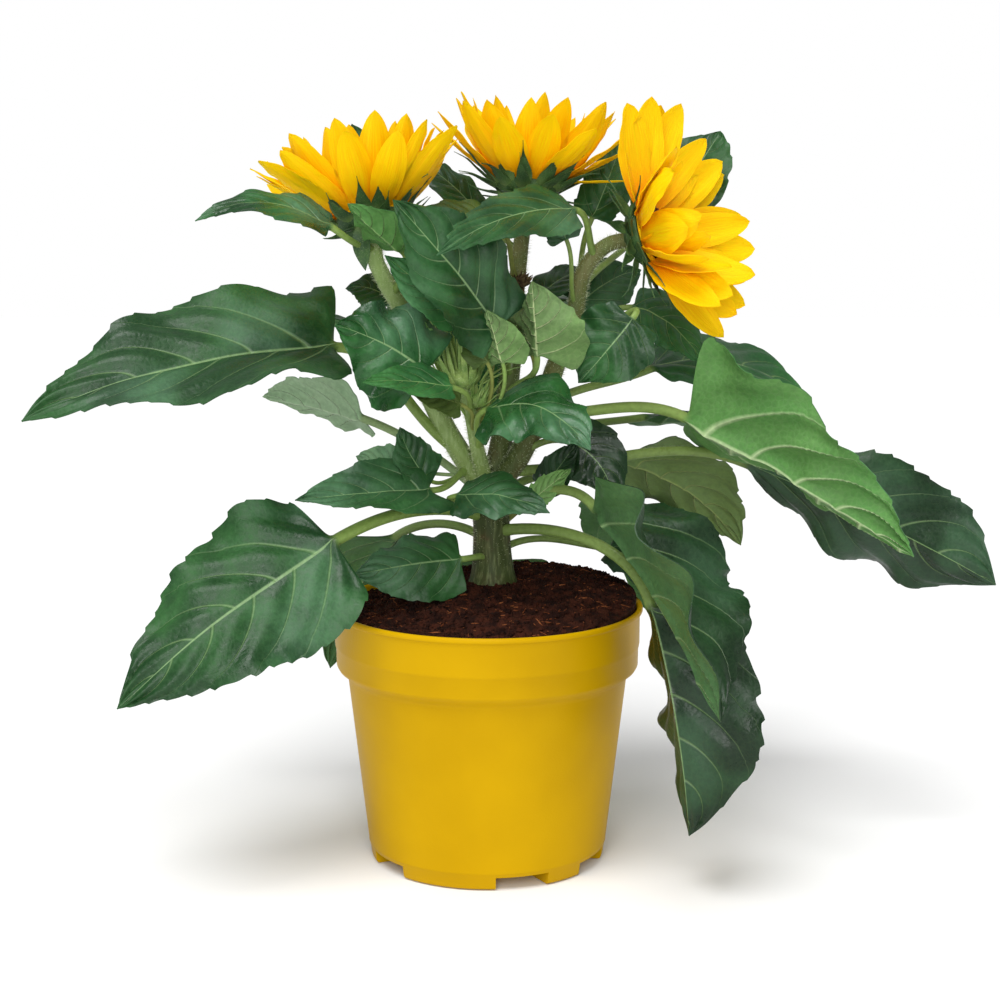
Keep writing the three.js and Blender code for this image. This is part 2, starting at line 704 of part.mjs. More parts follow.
// The petiole leaves its stem outward and upward and runs smoothly into the midrib
function leafCurves(leaf) {
  const base = vector(leaf.base);
  const tip = vector(leaf.tip);
  const foot = axisPoint(stems[leaf.stem], leaf.height);
  const control = base.clone().add(tip).multiplyScalar(0.5).addScaledVector(vector(leaf.bow), 2);
  const span = base.distanceTo(foot);
  const outward = base.clone().sub(foot).setZ(0).normalize();
  const leaving = outward.setZ(leaf.spring ?? leafSpring).normalize();
  const start = foot.clone().addScaledVector(leaving, span * petiolePulls[0]);
  const end = base.clone().addScaledVector(control.clone().sub(base).normalize(), -span * petiolePulls[1]);
  return {
    petiole: new THREE.CubicBezierCurve3(foot, start, end, base),
    blade: new THREE.QuadraticBezierCurve3(base, control, tip),
  };
}

function leafSolid(leaf) {
  const { petiole, blade } = leafCurves(leaf);
  const small = vector(leaf.base).distanceTo(vector(leaf.tip)) < smallLeafLength;
  const rings = [];
  for (let i = 0; i < petioleRings; i += 1) {
    const part = i / petioleRings;
    rings.push(leafRing(leaf, petiole.getPoint(part), petiole.getTangent(part), 0, 0));
  }
  for (const part of small ? smallBladeSteps : bladeSteps) {
    rings.push(leafRing(leaf, blade.getPoint(part), blade.getTangent(part), part, ease(part / blendLength)));
  }
  return solid(loft(rings)).subtract(stemSolid(stems[leaf.stem], clearance));
}

// Flower heads: about +Z, with the disc's plane at zero height

// A pointed blade that starts at a radius and rises, with its sides raised a little
function pointedBlade(blade) {
  const { radius, height, length, width, thickness, rise, bend, angle, cup, widest, steps } = blade;
  const rings = [];
  const out = new THREE.Vector3(Math.cos(angle), Math.sin(angle), 0);
  const side = new THREE.Vector3(-Math.sin(angle), Math.cos(angle), 0);
  const centre = out.clone().multiplyScalar(radius).setZ(height);
  const tipPower = (bladeRootPower * (1 - widest)) / widest;
  const shape = (t) => (t + bladeRootWidth) ** bladeRootPower * (1 - t) ** tipPower;
  for (let i = 0; i <= steps; i += 1) {
    const part = i / steps;
    const pitch = radians(rise + bend * (part - 0.5));
    const along = out.clone().multiplyScalar(Math.cos(pitch)).setZ(Math.sin(pitch));
    const normal = out.clone().multiplyScalar(-Math.sin(pitch)).setZ(Math.cos(pitch));
    const half = Math.max(((width / 2) * shape(part)) / shape(widest), bladeLeastHalf);
    const ring = [];
    for (const [across, face] of [[-1, 1], [1, 1], [1, -1], [-1, -1]]) {
      const lift = half * cup + face * (thickness / 2);
      ring.push(centre.clone().addScaledVector(side, half * across).addScaledVector(normal, lift));
    }
    rings.push(ring);
    centre.addScaledVector(along, length / steps);
  }
  return solid(loft(rings));
}

function petals(head) {
  const ring = turned([
    [ringRadii[0], clearance], [ringRadii[1], clearance], [ringRadii[1], ringHeight],
    [ringRadii[0], ringHeight], [ringRadii[0], clearance],
  ], headFacets);
  const turn = new THREE.Quaternion().setFromUnitVectors(up, vector(head.axis).normalize());
  const heading = (i) => {
    const place = i + petalUneven.heading * jitter(head.seed + 2, i);
    return (2 * Math.PI * place) / petalCount + radians(head.turn);
  };
  const closing = (i) => {
    const outward = new THREE.Vector3(Math.cos(heading(i)), Math.sin(heading(i)), 0);
    return head.close * Math.max(0, -outward.applyQuaternion(turn).y);
  };
  const blades = Array.from({ length: petalCount }, (_, i) => pointedBlade({
    radius: ringRadii[0] + petalRoot,
    height: ringHeight / 2,
    length: head.length * (1 + petalUneven.length * jitter(head.seed, i)),
    width: petalWidth,
    thickness: petalThickness,
    rise: head.rise + petalSpread[(i + 1) % 2] + petalUneven.rise * jitter(head.seed + 1, i) + closing(i),
    bend: petalBend,
    angle: heading(i),
    cup: petalCup,
    widest: petalWidest,
    steps: petalSteps,
  }));
  return blades.reduce((all, next) => all.add(next), ring);
}

function bractRing(count, length, width, radius, height, rise, bend) {
  return Array.from({ length: count }, (_, i) => pointedBlade({
    radius, height, length, width, rise, bend,
    thickness: bractThickness,
    cup: bractCup,
    widest: bractWidest,
    steps: 2,
    angle: (2 * Math.PI * i) / count,
  }));
}

function cup(head) {
  const bowl = turned([
    [0, -cupDepth], [cupFootRadius, -cupDepth],
    [cupRadius * cupWaist.radius, -cupDepth * cupWaist.depth],
    [cupRadius, -cupLip], [cupRadius, 0], [0, 0],
  ], headFacets);
  const bracts = bractRing(
    bractCount, bractLength, bractWidth, cupRadius - bractRoot.inset, -bractRoot.depth,
    head.rise - bractDroop, bractBend,
  );
  return bracts.reduce((all, next) => all.add(next), bowl);
}

// The disc's profile gives each radius as a share of the disc's, with the height above its plane
function disc() {
  const top = discProfile.map(([share, height]) => [share * discRadius, height]);
  return turned([[0, clearance], [discRadius, clearance], ...top], headFacets);
}

function buildHeads() {
  for (const [side, head] of Object.entries(heads)) {
    addSolid(`${side}_flower_cup`, placed(cup(head), head.place, head.axis), 'bract');
    addSolid(`${side}_flower_petals`, placed(petals(head), head.place, head.axis), 'petal');
    addSolid(`${side}_flower_disc`, placed(disc(), head.place, head.axis), 'disc');
  }
}

// The knob's profile and its bracts are told as shares of the bud's own radius and height
function buildBuds() {
  for (const bud of buds) {
    const { radius, height } = bud;
    const knob = turned(knobProfile.map(([out, along]) => [out * radius, along * height]), budFacets);
    const bracts = bractRing(
      bud.bracts, bud.reach, radius * budBract.width, radius * budBract.root,
      height * budBract.height, budBract.rise, budBract.bend,
    );
    const body = bracts.reduce((all, next) => all.add(next), knob);
    addSolid(bud.name, placed(body, bud.place, bud.axis), 'bract');
  }
}

function buildLeaves() {
  for (const leaf of leaves) addSolid(leaf.name, leafSolid(leaf), 'leaf');
}

buildPot();
buildSoil();
buildStems();
buildHeads();
buildBuds();
buildLeaves();

export default plant;
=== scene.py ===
"""A potted branching sunflower: the look of every part of the CAD plant.

Lengths are millimetres in the part's own frame, where Z is up, X runs to the viewer's right and Y
away from the viewer. MM turns them into metres when a mesh is made.
"""

import logging
from dataclasses import dataclass, field
from enum import Enum
from functools import cache
from math import radians
from typing import ClassVar

import bmesh
import bpy
import numpy as np
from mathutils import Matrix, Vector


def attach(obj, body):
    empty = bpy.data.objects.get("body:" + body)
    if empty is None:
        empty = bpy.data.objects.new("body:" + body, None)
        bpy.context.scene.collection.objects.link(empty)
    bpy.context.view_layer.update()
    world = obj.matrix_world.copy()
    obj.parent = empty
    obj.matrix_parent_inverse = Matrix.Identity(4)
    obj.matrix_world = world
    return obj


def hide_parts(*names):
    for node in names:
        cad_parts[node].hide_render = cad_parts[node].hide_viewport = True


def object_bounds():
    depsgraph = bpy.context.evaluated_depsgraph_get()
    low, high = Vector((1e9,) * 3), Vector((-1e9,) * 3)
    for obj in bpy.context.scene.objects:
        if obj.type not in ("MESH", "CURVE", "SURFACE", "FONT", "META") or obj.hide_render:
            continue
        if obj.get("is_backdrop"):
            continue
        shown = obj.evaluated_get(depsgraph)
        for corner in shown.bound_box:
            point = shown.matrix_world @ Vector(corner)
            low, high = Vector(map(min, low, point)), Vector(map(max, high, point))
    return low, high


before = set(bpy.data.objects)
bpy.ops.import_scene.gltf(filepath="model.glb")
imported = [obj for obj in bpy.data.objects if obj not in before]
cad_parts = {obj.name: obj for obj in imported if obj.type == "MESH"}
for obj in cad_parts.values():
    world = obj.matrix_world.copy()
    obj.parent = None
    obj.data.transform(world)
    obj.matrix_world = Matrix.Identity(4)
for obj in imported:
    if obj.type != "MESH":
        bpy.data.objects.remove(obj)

Array = np.ndarray
Material = bpy.types.Material
Socket = bpy.types.NodeSocket
MM = 0.001
UP = np.array([0.0, 0.0, 1.0])
CREASE_DEGREES = 50
SAME_PLACE = 1e-6
log = logging.getLogger("sunflower")


class Slot(Enum):
    """The record's material slots."""

    POT = "pot"
    SOIL = "soil"
    STEM = "stem"
    LEAF = "leaf"
    PETAL = "petal"
    DISC = "disc"
    BRACT = "bract"


# Numbers and curves


def unit(vectors: Array) -> Array:
    """Give vectors of length one."""
    vectors = np.asarray(vectors, float)
    return vectors / np.maximum(np.linalg.norm(vectors, axis=-1, keepdims=True), 1e-12)


def ease(x: Array) -> Array:
    """Give the smooth step 3x² - 2x³ from 0 to 1 as x goes from 0 to 1."""
    x = np.clip(x, 0.0, 1.0)
    return x * x * (3.0 - 2.0 * x)


def mix(a: Array, b: Array, part: Array) -> Array:
    """Give the value a part of the way from a to b."""
    return a + (b - a) * part


def circle(steps: int) -> Array:
    """Give even angles once round, from 0."""
    return 2 * np.pi * np.arange(steps) / steps


def along_path(points: Array, samples: int) -> tuple[Array, Array, Array]:
    """Follow a polyline at even steps of its length.

    Args:
        points: the corners of the polyline, close together.
        samples: how many stations to give.

    Returns:
        The stations, their unit tangents, and the distance of each from the start.
    """
    steps = np.linalg.norm(np.diff(points, axis=0), axis=1)
    distance = np.concatenate([[0.0], np.cumsum(steps)])
    wanted = np.linspace(0.0, distance[-1], samples)
    stations = np.stack([np.interp(wanted, distance, points[:, k]) for k in range(3)], axis=1)
    return stations, unit(np.gradient(stations, axis=0)), wanted


def path_length(points: Array) -> float:
    """Give the length of a polyline."""
    return np.linalg.norm(np.diff(points, axis=0), axis=1).sum()


def spline(points: Array, samples: int = 240) -> Array:
    """Sample the centripetal Catmull-Rom curve through a few points.

    Each span is the Hermite cubic whose end tangents weigh the neighbouring chords by the square root
    of their lengths. The chords before the first point and after the last repeat the end ones.

    Args:
        points: the points that the curve goes through.
        samples: about how many points to give.

    Returns:
        Points close together on the curve.
    """
    held = np.vstack([2 * points[0] - points[1], points, 2 * points[-1] - points[-2]])
    chords = np.diff(held, axis=0)
    pace = np.sqrt(np.linalg.norm(chords, axis=1))[:, None]
    speed = chords / pace
    first = speed[:-2] - (chords[:-2] + chords[1:-1]) / (pace[:-2] + pace[1:-1]) + speed[1:-1]
    last = speed[1:-1] - (chords[1:-1] + chords[2:]) / (pace[1:-1] + pace[2:]) + speed[2:]
    u = np.linspace(0.0, 1.0, samples // (len(points) - 1))[None, :, None]
    start, end = points[:-1, None, :], points[1:, None, :]
    leave, arrive = (first * pace[1:-1])[:, None, :], (last * pace[1:-1])[:, None, :]
    curve = (2 * u**3 - 3 * u**2 + 1) * start + (3 * u**2 - 2 * u**3) * end
    curve = curve + (u**3 - 2 * u**2 + u) * leave + (u**3 - u**2) * arrive
    return np.vstack([curve[:, :-1].reshape(-1, 3), points[-1:]])


def bezier(controls: list[Array], t: Array) -> Array:
    """Follow a Bezier curve by mixing neighbouring controls until one is left.

    Args:
        controls: three or four points.
        t: the part of the way, for each wanted point.

    Returns:
        The points of the curve.
    """
    rows = [np.broadcast_to(c, (len(t), 3)) for c in controls]
    while len(rows) > 1:
        rows = [mix(a, b, t[:, None]) for a, b in zip(rows, rows[1:])]
    return rows[0]


def hash_noise(seed: float, *places: Array) -> Array:
    """Give a repeatable number from -1 to 1 for each place, without any pattern.

    Args:
        seed: makes one scatter unlike another.
        places: one to three numbers of each place.

    Returns:
        Twice the fraction of a large multiple of the sine of a weighted sum, less one.
    """
    total = sum(np.asarray(p, float) * w for p, w in zip(places, (311.7, 74.7, 171.3)))
    wave = np.sin(seed * 127.1 + total) * 43758.5453
    return 2.0 * (wave - np.floor(wave)) - 1.0


def waves(seed: float, *places: Array) -> Array:
    """Give smooth uneven waves: four sines of unlike pace and phase, each weaker than the last.

    Args:
        seed: makes one set of waves unlike another.
        places: one to three numbers of each place.

    Returns:
        Values between about -1 and 1.
    """
    total = np.zeros(np.broadcast(*places).shape)
    for k in range(4):
        turn = [hash_noise(seed + 3.7 * k, j) * (1.0 + 0.6 * k) for j in range(len(places))]
        phase = sum(t * p for t, p in zip(turn, places))
        total = total + np.sin(phase * 2.1 + 5.0 * hash_noise(seed, k)) / (1.0 + 0.5 * k)
    return total / 2.2


def turned_to(points: Array, axis: Array, place: Array) -> Array:
    """Turn points by the shortest way that takes +Z to an axis, then move them to a place.

    Args:
        points: (..., m, 3) points about the origin.
        axis: (..., 3) the way that +Z goes.
        place: (..., 3) where the origin goes.

    Returns:
        The turned and moved points.
    """
    axis = unit(np.asarray(axis, float))
    x, y, z = np.moveaxis(np.cross(UP, axis), -1, 0)
    cross = np.stack([0 * z, -z, y, z, 0 * z, -x, -y, x, 0 * z], axis=-1).reshape(*axis.shape, 3)
    matrix = np.eye(3) + cross + cross @ cross / (1.0 + axis[..., 2, None, None])
    return points @ np.swapaxes(matrix, -1, -2) + np.asarray(place, float)[..., None, :]


# Meshes


@dataclass
class Form:
    """A mesh under way: points in millimetres, faces of three or four corners, and UV by corner."""

    points: Array
    faces: Array
    uv: Array

    @staticmethod
    def joined(forms: list["Form"]) -> "Form":
        """Put several forms into one.

        Args:
            forms: the forms, whose triangles have -1 as their fourth corner.

        Returns:
            The one form.
        """
        starts = np.cumsum([0] + [len(f.points) for f in forms[:-1]])
        faces = np.vstack([np.where(f.faces < 0, -1, f.faces + s) for f, s in zip(forms, starts)])
        return Form(np.vstack([f.points for f in forms]), faces, np.concatenate([f.uv for f in forms]))

    def moved(self, axis: Array, place: Array) -> "Form":
        """Give the form with its +Z turned to an axis and its origin at a place."""
        return Form(turned_to(self.points, axis, place), self.faces, self.uv)

    def stand(self, name: str, slot: Slot, finish: Enum, nodes: tuple = (), welded: bool = False) -> None:
        """Make the form an object of the scene that rides on the plant's body.

        Args:
            name: the piece's name.
            slot: the record's slot that it belongs to. It is not used.
            finish: its finish.
            nodes: the CAD nodes that it stands for.
            welded: whether points at one place become one.
        """
        triangle = self.faces[:, 3] < 0
        used = np.ones(self.faces.shape, bool)
        used[triangle, 3] = False
        corners = self.faces[used]
        starts = np.concatenate([[0], np.cumsum(np.where(triangle, 3, 4))[:-1]])
        mesh = bpy.data.meshes.new(name)
        mesh.vertices.add(len(self.points))
        mesh.vertices.foreach_set("co", (self.points * MM).astype(np.float32).ravel())
        mesh.loops.add(len(corners))
        mesh.loops.foreach_set("vertex_index", corners.astype(np.int32))
        mesh.polygons.add(len(self.faces))
        mesh.polygons.foreach_set("loop_start", starts.astype(np.int32))
        mesh.update(calc_edges=True)
        layer = mesh.uv_layers.new(name="place")
        layer.uv.foreach_set("vector", self.uv[used].astype(np.float32).ravel())
        mesh.validate()
        if welded:
            weld(mesh)
        mesh.shade_smooth()
        mesh.set_sharp_from_angle(angle=radians(CREASE_DEGREES))
        mesh.materials.append(material_of(finish))
        piece = bpy.data.objects.new(name, mesh)
        bpy.context.scene.collection.objects.link(piece)
        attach(piece, "root")
        if nodes:
            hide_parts(*nodes)
        log.info("%s: %d faces", name, len(mesh.polygons))


def weld(mesh: bpy.types.Mesh) -> None:
    """Make one of the points that lie at one place, and drop faces without area.

    Args:
        mesh: the mesh that is changed.
    """
    work = bmesh.new()
    work.from_mesh(mesh)
    bmesh.ops.remove_doubles(work, verts=work.verts, dist=SAME_PLACE)
    work.to_mesh(mesh)
    work.free()


def loft(rings: Array, u: Array, v: Array, far: Array | None = None) -> Form:
    """Close a grid of rings into a body: quads between the rings and a fan over each end.

    Args:
        rings: (rows, columns, 3) points, each ring counter-clockwise seen from the end it goes to.
            With one more axis in front they are many bodies of one kind.
        u: the U of each column.
        v: the V of each row.
        far: the U at the far side of each column's quads, where it isn't the next column's.

    Returns:
        The closed form.
    """
    stack = rings.reshape(-1, *rings.shape[-3:])
    bodies, rows, columns = stack.shape[:3]
    index = np.arange(rows * columns).reshape(rows, columns)
    after = np.roll(index, -1, axis=1)
    quads = np.stack([index[:-1], after[:-1], after[1:], index[1:]], axis=-1).reshape(-1, 4)
    far = np.roll(u, -1) if far is None else far
    sides = np.stack([u, far, far, u], axis=-1)[None].repeat(rows - 1, axis=0)
    ends = np.stack([v[:-1], v[:-1], v[1:], v[1:]], axis=-1)[:, None].repeat(columns, axis=1)
    quad_uv = np.stack([sides, ends], axis=-1).reshape(-1, 4, 2)
    first, last = np.full(columns, rows * columns), np.full(columns, rows * columns + 1)
    none = np.full(columns, -1)
    start_fan = np.stack([after[0], index[0], first, none], axis=1)
    end_fan = np.stack([index[-1], after[-1], last, none], axis=1)
    fan_uv = np.stack([np.tile(u, 2), np.repeat([v[0], v[-1]], columns)], axis=1)[:, None].repeat(4, axis=1)
    points = np.concatenate([stack.reshape(bodies, -1, 3), stack[:, [0, -1]].mean(axis=2)], axis=1)
    one = np.vstack([quads, start_fan, end_fan])
    faces = np.where(one < 0, -1, one + (np.arange(bodies) * points.shape[1])[:, None, None])
    uv = np.tile(np.concatenate([quad_uv, fan_uv]), (bodies, 1, 1))
    return Form(points.reshape(-1, 3), faces.reshape(-1, 4), uv)


def shell(middle: Array, normal: Array, thickness: Array, across: Array, along: Array) -> Form:
    """Give a thin closed skin round a sheet, or round each sheet of a stack.

    Args:
        middle: (..., rows, columns, 3) points of the sheet, columns from its left edge to its right.
        normal: the way its upper side faces, for each point.
        thickness: the full thickness, for each point.
        across: the place of each column, from -1 to 1.
        along: the place of each row along the sheet.

    Returns:
        The form. U is 0 to 1 on the upper skin and 2 to 3 on the under one.
    """
    half = normal * (np.broadcast_to(thickness, middle.shape[:-1]) / 2)[..., None]
    rings = np.concatenate([middle + half, (middle - half)[..., ::-1, :]], axis=-2)
    u, far = skin_u(across)
    return loft(rings, u, along, far)


def skin_u(across: Array) -> tuple[Array, Array]:
    """Give the U of a skin's columns, whose narrow edges take the upper side's.

    Args:
        across: the place of each column of the sheet, from -1 to 1.

    Returns:
        The U at the near and at the far side of each column's quads, upper side first.
    """
    top = (across + 1) / 2
    u = np.concatenate([top, top[::-1] + 2])
    far = np.roll(u, -1)
    far[len(top) - 1] = 1.0
    u[-1], far[-1] = 0.0, 0.0
    return u, far


def tube(path: Array, tangent: Array, radius: Array, sides: int) -> Form:
    """Give a closed limb of round section along a path.

    Args:
        path: (rows, 3) the axis.
        tangent: (rows, 3) its unit tangents.
        radius: (rows, sides) the radius at each row and side.
        sides: points in each ring.

    Returns:
        The form. U runs once round it and V is the row's part of the way.
    """
    side, other = square_to(tangent)
    angle = circle(sides)
    ring = side[:, None] * np.cos(angle)[None, :, None] + other[:, None] * np.sin(angle)[None, :, None]
    u = np.arange(sides) / sides
    return loft(path[:, None] + ring * radius[..., None], u, np.linspace(0, 1, len(path)), u + 1 / sides)


def square_to(tangent: Array) -> tuple[Array, Array]:
    """Give two directions square to each tangent and to each other."""
    side = unit(np.cross([0.0, 1.0, 0.0], tangent))
    return side, np.cross(tangent, side)


def revolved(radius: Array, height: Array, columns: int) -> Form:
    """Turn a profile about Z.

    Args:
        radius: the profile's distances from the axis. Both its ends lie on or near the axis, or it
            comes back to its start.
        height: the profile's heights.
        columns: steps once round.

    Returns:
        The closed form.
    """
    angle = circle(columns)
    ring = np.stack([np.cos(angle), np.sin(angle), np.zeros(columns)], axis=-1)
    rings = ring[None] * radius[:, None, None] + UP * height[:, None, None]
    u = np.arange(columns) / columns
    return loft(rings, u, np.linspace(0, 1, len(radius)), u + 1 / columns)


# Materials


class Graph:
    """A node tree being wired: each method adds one node and gives its output."""

    def __init__(self, tree: bpy.types.NodeTree) -> None:
        """Start on a tree."""
        self.tree = tree

    def put(self, socket: Socket, value: object) -> None:
        """Link an input to another node's output, or set it to a value.

        Args:
            socket: the input.
            value: the output or the value, or None to leave the input alone.
        """
        if isinstance(value, Socket):
            self.tree.links.new(value, socket)
        elif value is not None:
            socket.default_value = value

    def add(self, kind: str, inputs: dict, **settings: object) -> bpy.types.Node:
        """Add a node.

        Args:
            kind: its type.
            inputs: what goes into its inputs, by name or number.
            settings: its other properties.

        Returns:
            The node.
        """
        node = self.tree.nodes.new(kind)
        for key, value in settings.items():
            setattr(node, key, value)
        for key, value in inputs.items():
            self.put(node.inputs[key], value)
        return node

    def math(self, operation: str, *values: object) -> Socket:
        """Add a step of arithmetic on one to three numbers."""
        return self.add("ShaderNodeMath", dict(enumerate(values)), operation=operation).outputs[0]

    def span(self, value: Socket, low: object, high: object, start: float = 0.0, end: float = 1.0) -> Socket:
        """Map low..high smoothly to start..end."""
        inputs = {0: value, 1: low, 2: high, 3: start, 4: end}
        return self.add("ShaderNodeMapRange", inputs, interpolation_type="SMOOTHSTEP").outputs[0]

    def blend(self, part: object, a: object, b: object) -> Socket:
        """Mix two colours by a part."""
        return self.add("ShaderNodeMix", {0: part, 6: a, 7: b}, data_type="RGBA").outputs[2]

    def noise(self, where: Socket, scale: object, detail: object = 3.0) -> Socket:
        """Add noise from about 0 to 1."""
        return self.add("ShaderNodeTexNoise", {"Vector": where, "Scale": scale, "Detail": detail}).outputs[0]

    def cells(self, where: Socket, scale: float, feature: str) -> Socket:
        """Add the distance output of a cell pattern."""
        node = self.add("ShaderNodeTexVoronoi", {"Vector": where, "Scale": scale}, feature=feature)
        return node.outputs["Distance"]

    def solid_place(self) -> Socket:
        """Give the place on the object, in metres."""
        return self.add("ShaderNodeTexCoord", {}).outputs["Object"]

    def sheet_place(self) -> tuple[Socket, Socket]:
        """Give U and V of the piece's own map."""
        node = self.add("ShaderNodeSeparateXYZ", {0: self.add("ShaderNodeUVMap", {}, uv_map="place").outputs[0]})
        return node.outputs[0], node.outputs[1]

    def use(self, group: bpy.types.NodeTree, values: dict) -> bpy.types.bpy_prop_collection:
        """Place a group with values of its own and give its outputs."""
        return self.add("ShaderNodeGroup", values, node_tree=group).outputs


def new_group(name: str, takes: tuple, gives: tuple) -> tuple:
    """Start a shader node group whose sockets are numbers.

    Args:
        name: its name.
        takes: the names of its inputs.
        gives: the names of its outputs.

    Returns:
        Its graph, the sockets that bring its inputs, and those that take its outputs.
    """
    tree = bpy.data.node_groups.new(name, "ShaderNodeTree")
    for key in takes:
        tree.interface.new_socket(key, in_out="INPUT", socket_type="NodeSocketFloat")
    for key in gives:
        tree.interface.new_socket(key, in_out="OUTPUT", socket_type="NodeSocketFloat")
    return Graph(tree), tree.nodes.new("NodeGroupInput").outputs, tree.nodes.new("NodeGroupOutput").inputs


PATCH_INPUTS = ("Scale", "Detail", "Low", "High", "Grain Scale", "Grain Detail")


@cache
def patch_group() -> bpy.types.NodeTree:
    """Build the group that parts a surface into soft patches and gives it a grain.

    Returns:
        The group. Patch goes from 0 to 1 as the patches' noise, which is Cloud, goes from Low to High.
    """
    graph, take, give = new_group("patches", PATCH_INPUTS, ("Patch", "Cloud", "Grain"))
    place = graph.solid_place()
    cloud = graph.noise(place, take["Scale"], take["Detail"])
    graph.put(give["Cloud"], cloud)
    graph.put(give["Patch"], graph.span(cloud, take["Low"], take["High"]))
    graph.put(give["Grain"], graph.noise(place, take["Grain Scale"], take["Grain Detail"]))
    return graph.tree


def patches(graph: Graph, noise: tuple, edges: tuple, grain: tuple | None = None) -> bpy.types.bpy_prop_collection:
    """Place the group of patches in a material.

    Args:
        graph: the material's tree.
        noise: scale and detail of the patches.
        edges: the noise's values between which one patch turns into the other.
        grain: scale and detail of the grain, where it isn't the patches' own noise.

    Returns:
        The outputs Patch, Cloud and Grain.
    """
    return graph.use(patch_group(), dict(zip(PATCH_INPUTS, (*noise, *edges, *(grain or noise)))))


def rgb(code: int) -> tuple[float, float, float, float]:
    """Give the linear colour of a 24-bit sRGB code."""
    parts = [((code >> shift) & 255) / 255 for shift in (16, 8, 0)]
    return (*[p / 12.92 if p <= 0.04045 else ((p + 0.055) / 1.055) ** 2.4 for p in parts], 1.0)


class Finish:
    """What every finish has: one shader whose colour, roughness and relief are wired.

    Its materials' names start with family, and gloss says how strongly the surface shines.
    """

    gloss: float
    family: ClassVar[str] = ""

    def wire(self, graph: Graph) -> tuple:
        """Give the colour, the roughness, and the height and the depth in metres of the relief."""
        raise NotImplementedError

    def set_fixed(self, surface: bpy.types.Node) -> None:
        """Set the shader's values that are the same all over."""
        surface.inputs["Specular IOR Level"].default_value = self.gloss

    def material(self, name: str) -> Material:
        """Make the material.

        Args:
            name: the rest of its name.

        Returns:
            The material, whose shader is named Surface.
        """
        material = bpy.data.materials.new(self.family + name)
        material.use_nodes = True
        graph = Graph(material.node_tree)
        surface = material.node_tree.nodes["Principled BSDF"]
        surface.name = "Surface"
        colour, roughness, height, depth = self.wire(graph)
        graph.put(surface.inputs["Base Color"], colour)
        graph.put(surface.inputs["Roughness"], roughness)
        bump = graph.add("ShaderNodeBump", {"Height": height, "Distance": depth, "Strength": 1.0})
        graph.put(surface.inputs["Normal"], bump.outputs[0])
        self.set_fixed(surface)
        return material


@cache
def material_of(kind: Enum) -> Material:
    """Give the material of a named finish, made when it is first asked for."""
    return kind.value.material(kind.name.lower().replace("_", " "))


@dataclass(frozen=True)
class Layer:
    """A colour laid over another: its share goes from start to end as a value goes from low to high."""

    low: float
    high: float
    start: float
    end: float
    colour: int

    def lay(self, graph: Graph, value: Socket, under: Socket) -> Socket:
        """Blend the colour over another one."""
        return graph.blend(graph.span(value, self.low, self.high, self.start, self.end), under, rgb(self.colour))


@dataclass(frozen=True)
class PatchFinish(Finish):
    """Two colours in soft patches, with a layer along the piece's V and one on its grain.

    The pairs are scale and detail of the patches' noise, roughness from dark to light patches (or
    over the grain), the noise's values between which dark turns to light, and scale and detail of
    the grain. The depth of the relief is in metres.
    """

    dark: int
    light: int
    noise: tuple[float, float]
    rough: tuple[float, float]
    depth: float
    gloss: float = 0.5
    edges: tuple[float, float] = (0.35, 0.65)
    grain: tuple[float, float] | None = None
    along: Layer | None = None
    hairs: Layer | None = None
    rough_grain: bool = False

    def wire(self, graph: Graph) -> tuple:
        """Wire colour, roughness and relief from the patches and the grain.

        Args:
            graph: the material's tree.

        Returns:
            Colour, roughness, height and depth.
        """
        marks = patches(graph, self.noise, self.edges, self.grain)
        skin = graph.blend(marks["Patch"], rgb(self.dark), rgb(self.light))
        if self.along:
            skin = self.along.lay(graph, graph.sheet_place()[1], skin)
        if self.hairs:
            skin = self.hairs.lay(graph, marks["Grain"], skin)
        rough_by = (marks["Grain"], 0.2, 0.8) if self.rough_grain else (marks["Cloud"], 0.3, 0.7)
        return skin, graph.span(*rough_by, *self.rough), marks["Grain"], self.depth


@dataclass(frozen=True)
class PlainFinish(Finish):
    """One dull colour without relief."""

    colour: int
    rough: float
    gloss: float

    def wire(self, graph: Graph) -> tuple:
        """Give the fixed colour and roughness."""
        return rgb(self.colour), self.rough, 0.0, 0.0


@dataclass(frozen=True)
class PetalFinish(Finish):
    """Deep orange at the root, two yellows beyond, with fine streaks along it and some inner glow."""

    yellows: tuple[int, int]
    root: int
    gloss: float
    glow: float

    def wire(self, graph: Graph) -> tuple:
        """Wire colour, roughness and relief from streaks in U and clouds.

        Args:
            graph: the material's tree.

        Returns:
            Colour, roughness, height and depth.
        """
        u, v = graph.sheet_place()
        cloud = graph.noise(graph.solid_place(), 60.0)
        drawn_out = {0: graph.math("MULTIPLY", u, 16.0), 1: v, 2: 0.0}
        streak = graph.noise(graph.add("ShaderNodeCombineXYZ", drawn_out).outputs[0], 2.4)
        yellow = graph.blend(graph.span(streak, 0.35, 0.7), rgb(self.yellows[0]), rgb(self.yellows[1]))
        root = graph.span(graph.math("MULTIPLY_ADD", cloud, 0.25, v), 0.12, 0.6, 1.0, 0.0)
        skin = graph.blend(graph.math("MULTIPLY", root, 0.85), yellow, rgb(self.root))
        return skin, graph.span(cloud, 0.3, 0.7, 0.55, 0.66), streak, 0.0003

    def set_fixed(self, surface: bpy.types.Node) -> None:
        """Add the glow of light inside the petal.

        Args:
            surface: the shader.
        """
        super().set_fixed(surface)
        surface.inputs["Subsurface Weight"].default_value = self.glow
        surface.inputs["Subsurface Radius"].default_value = (1.0, 0.6, 0.05)
        surface.inputs["Subsurface Scale"].default_value = 0.004


DOWN = (1500.0, 2.0)
PLASTIC_GRAIN = (900.0, 2.0)
PEAT_GRAIN = (900.0, 4.0)


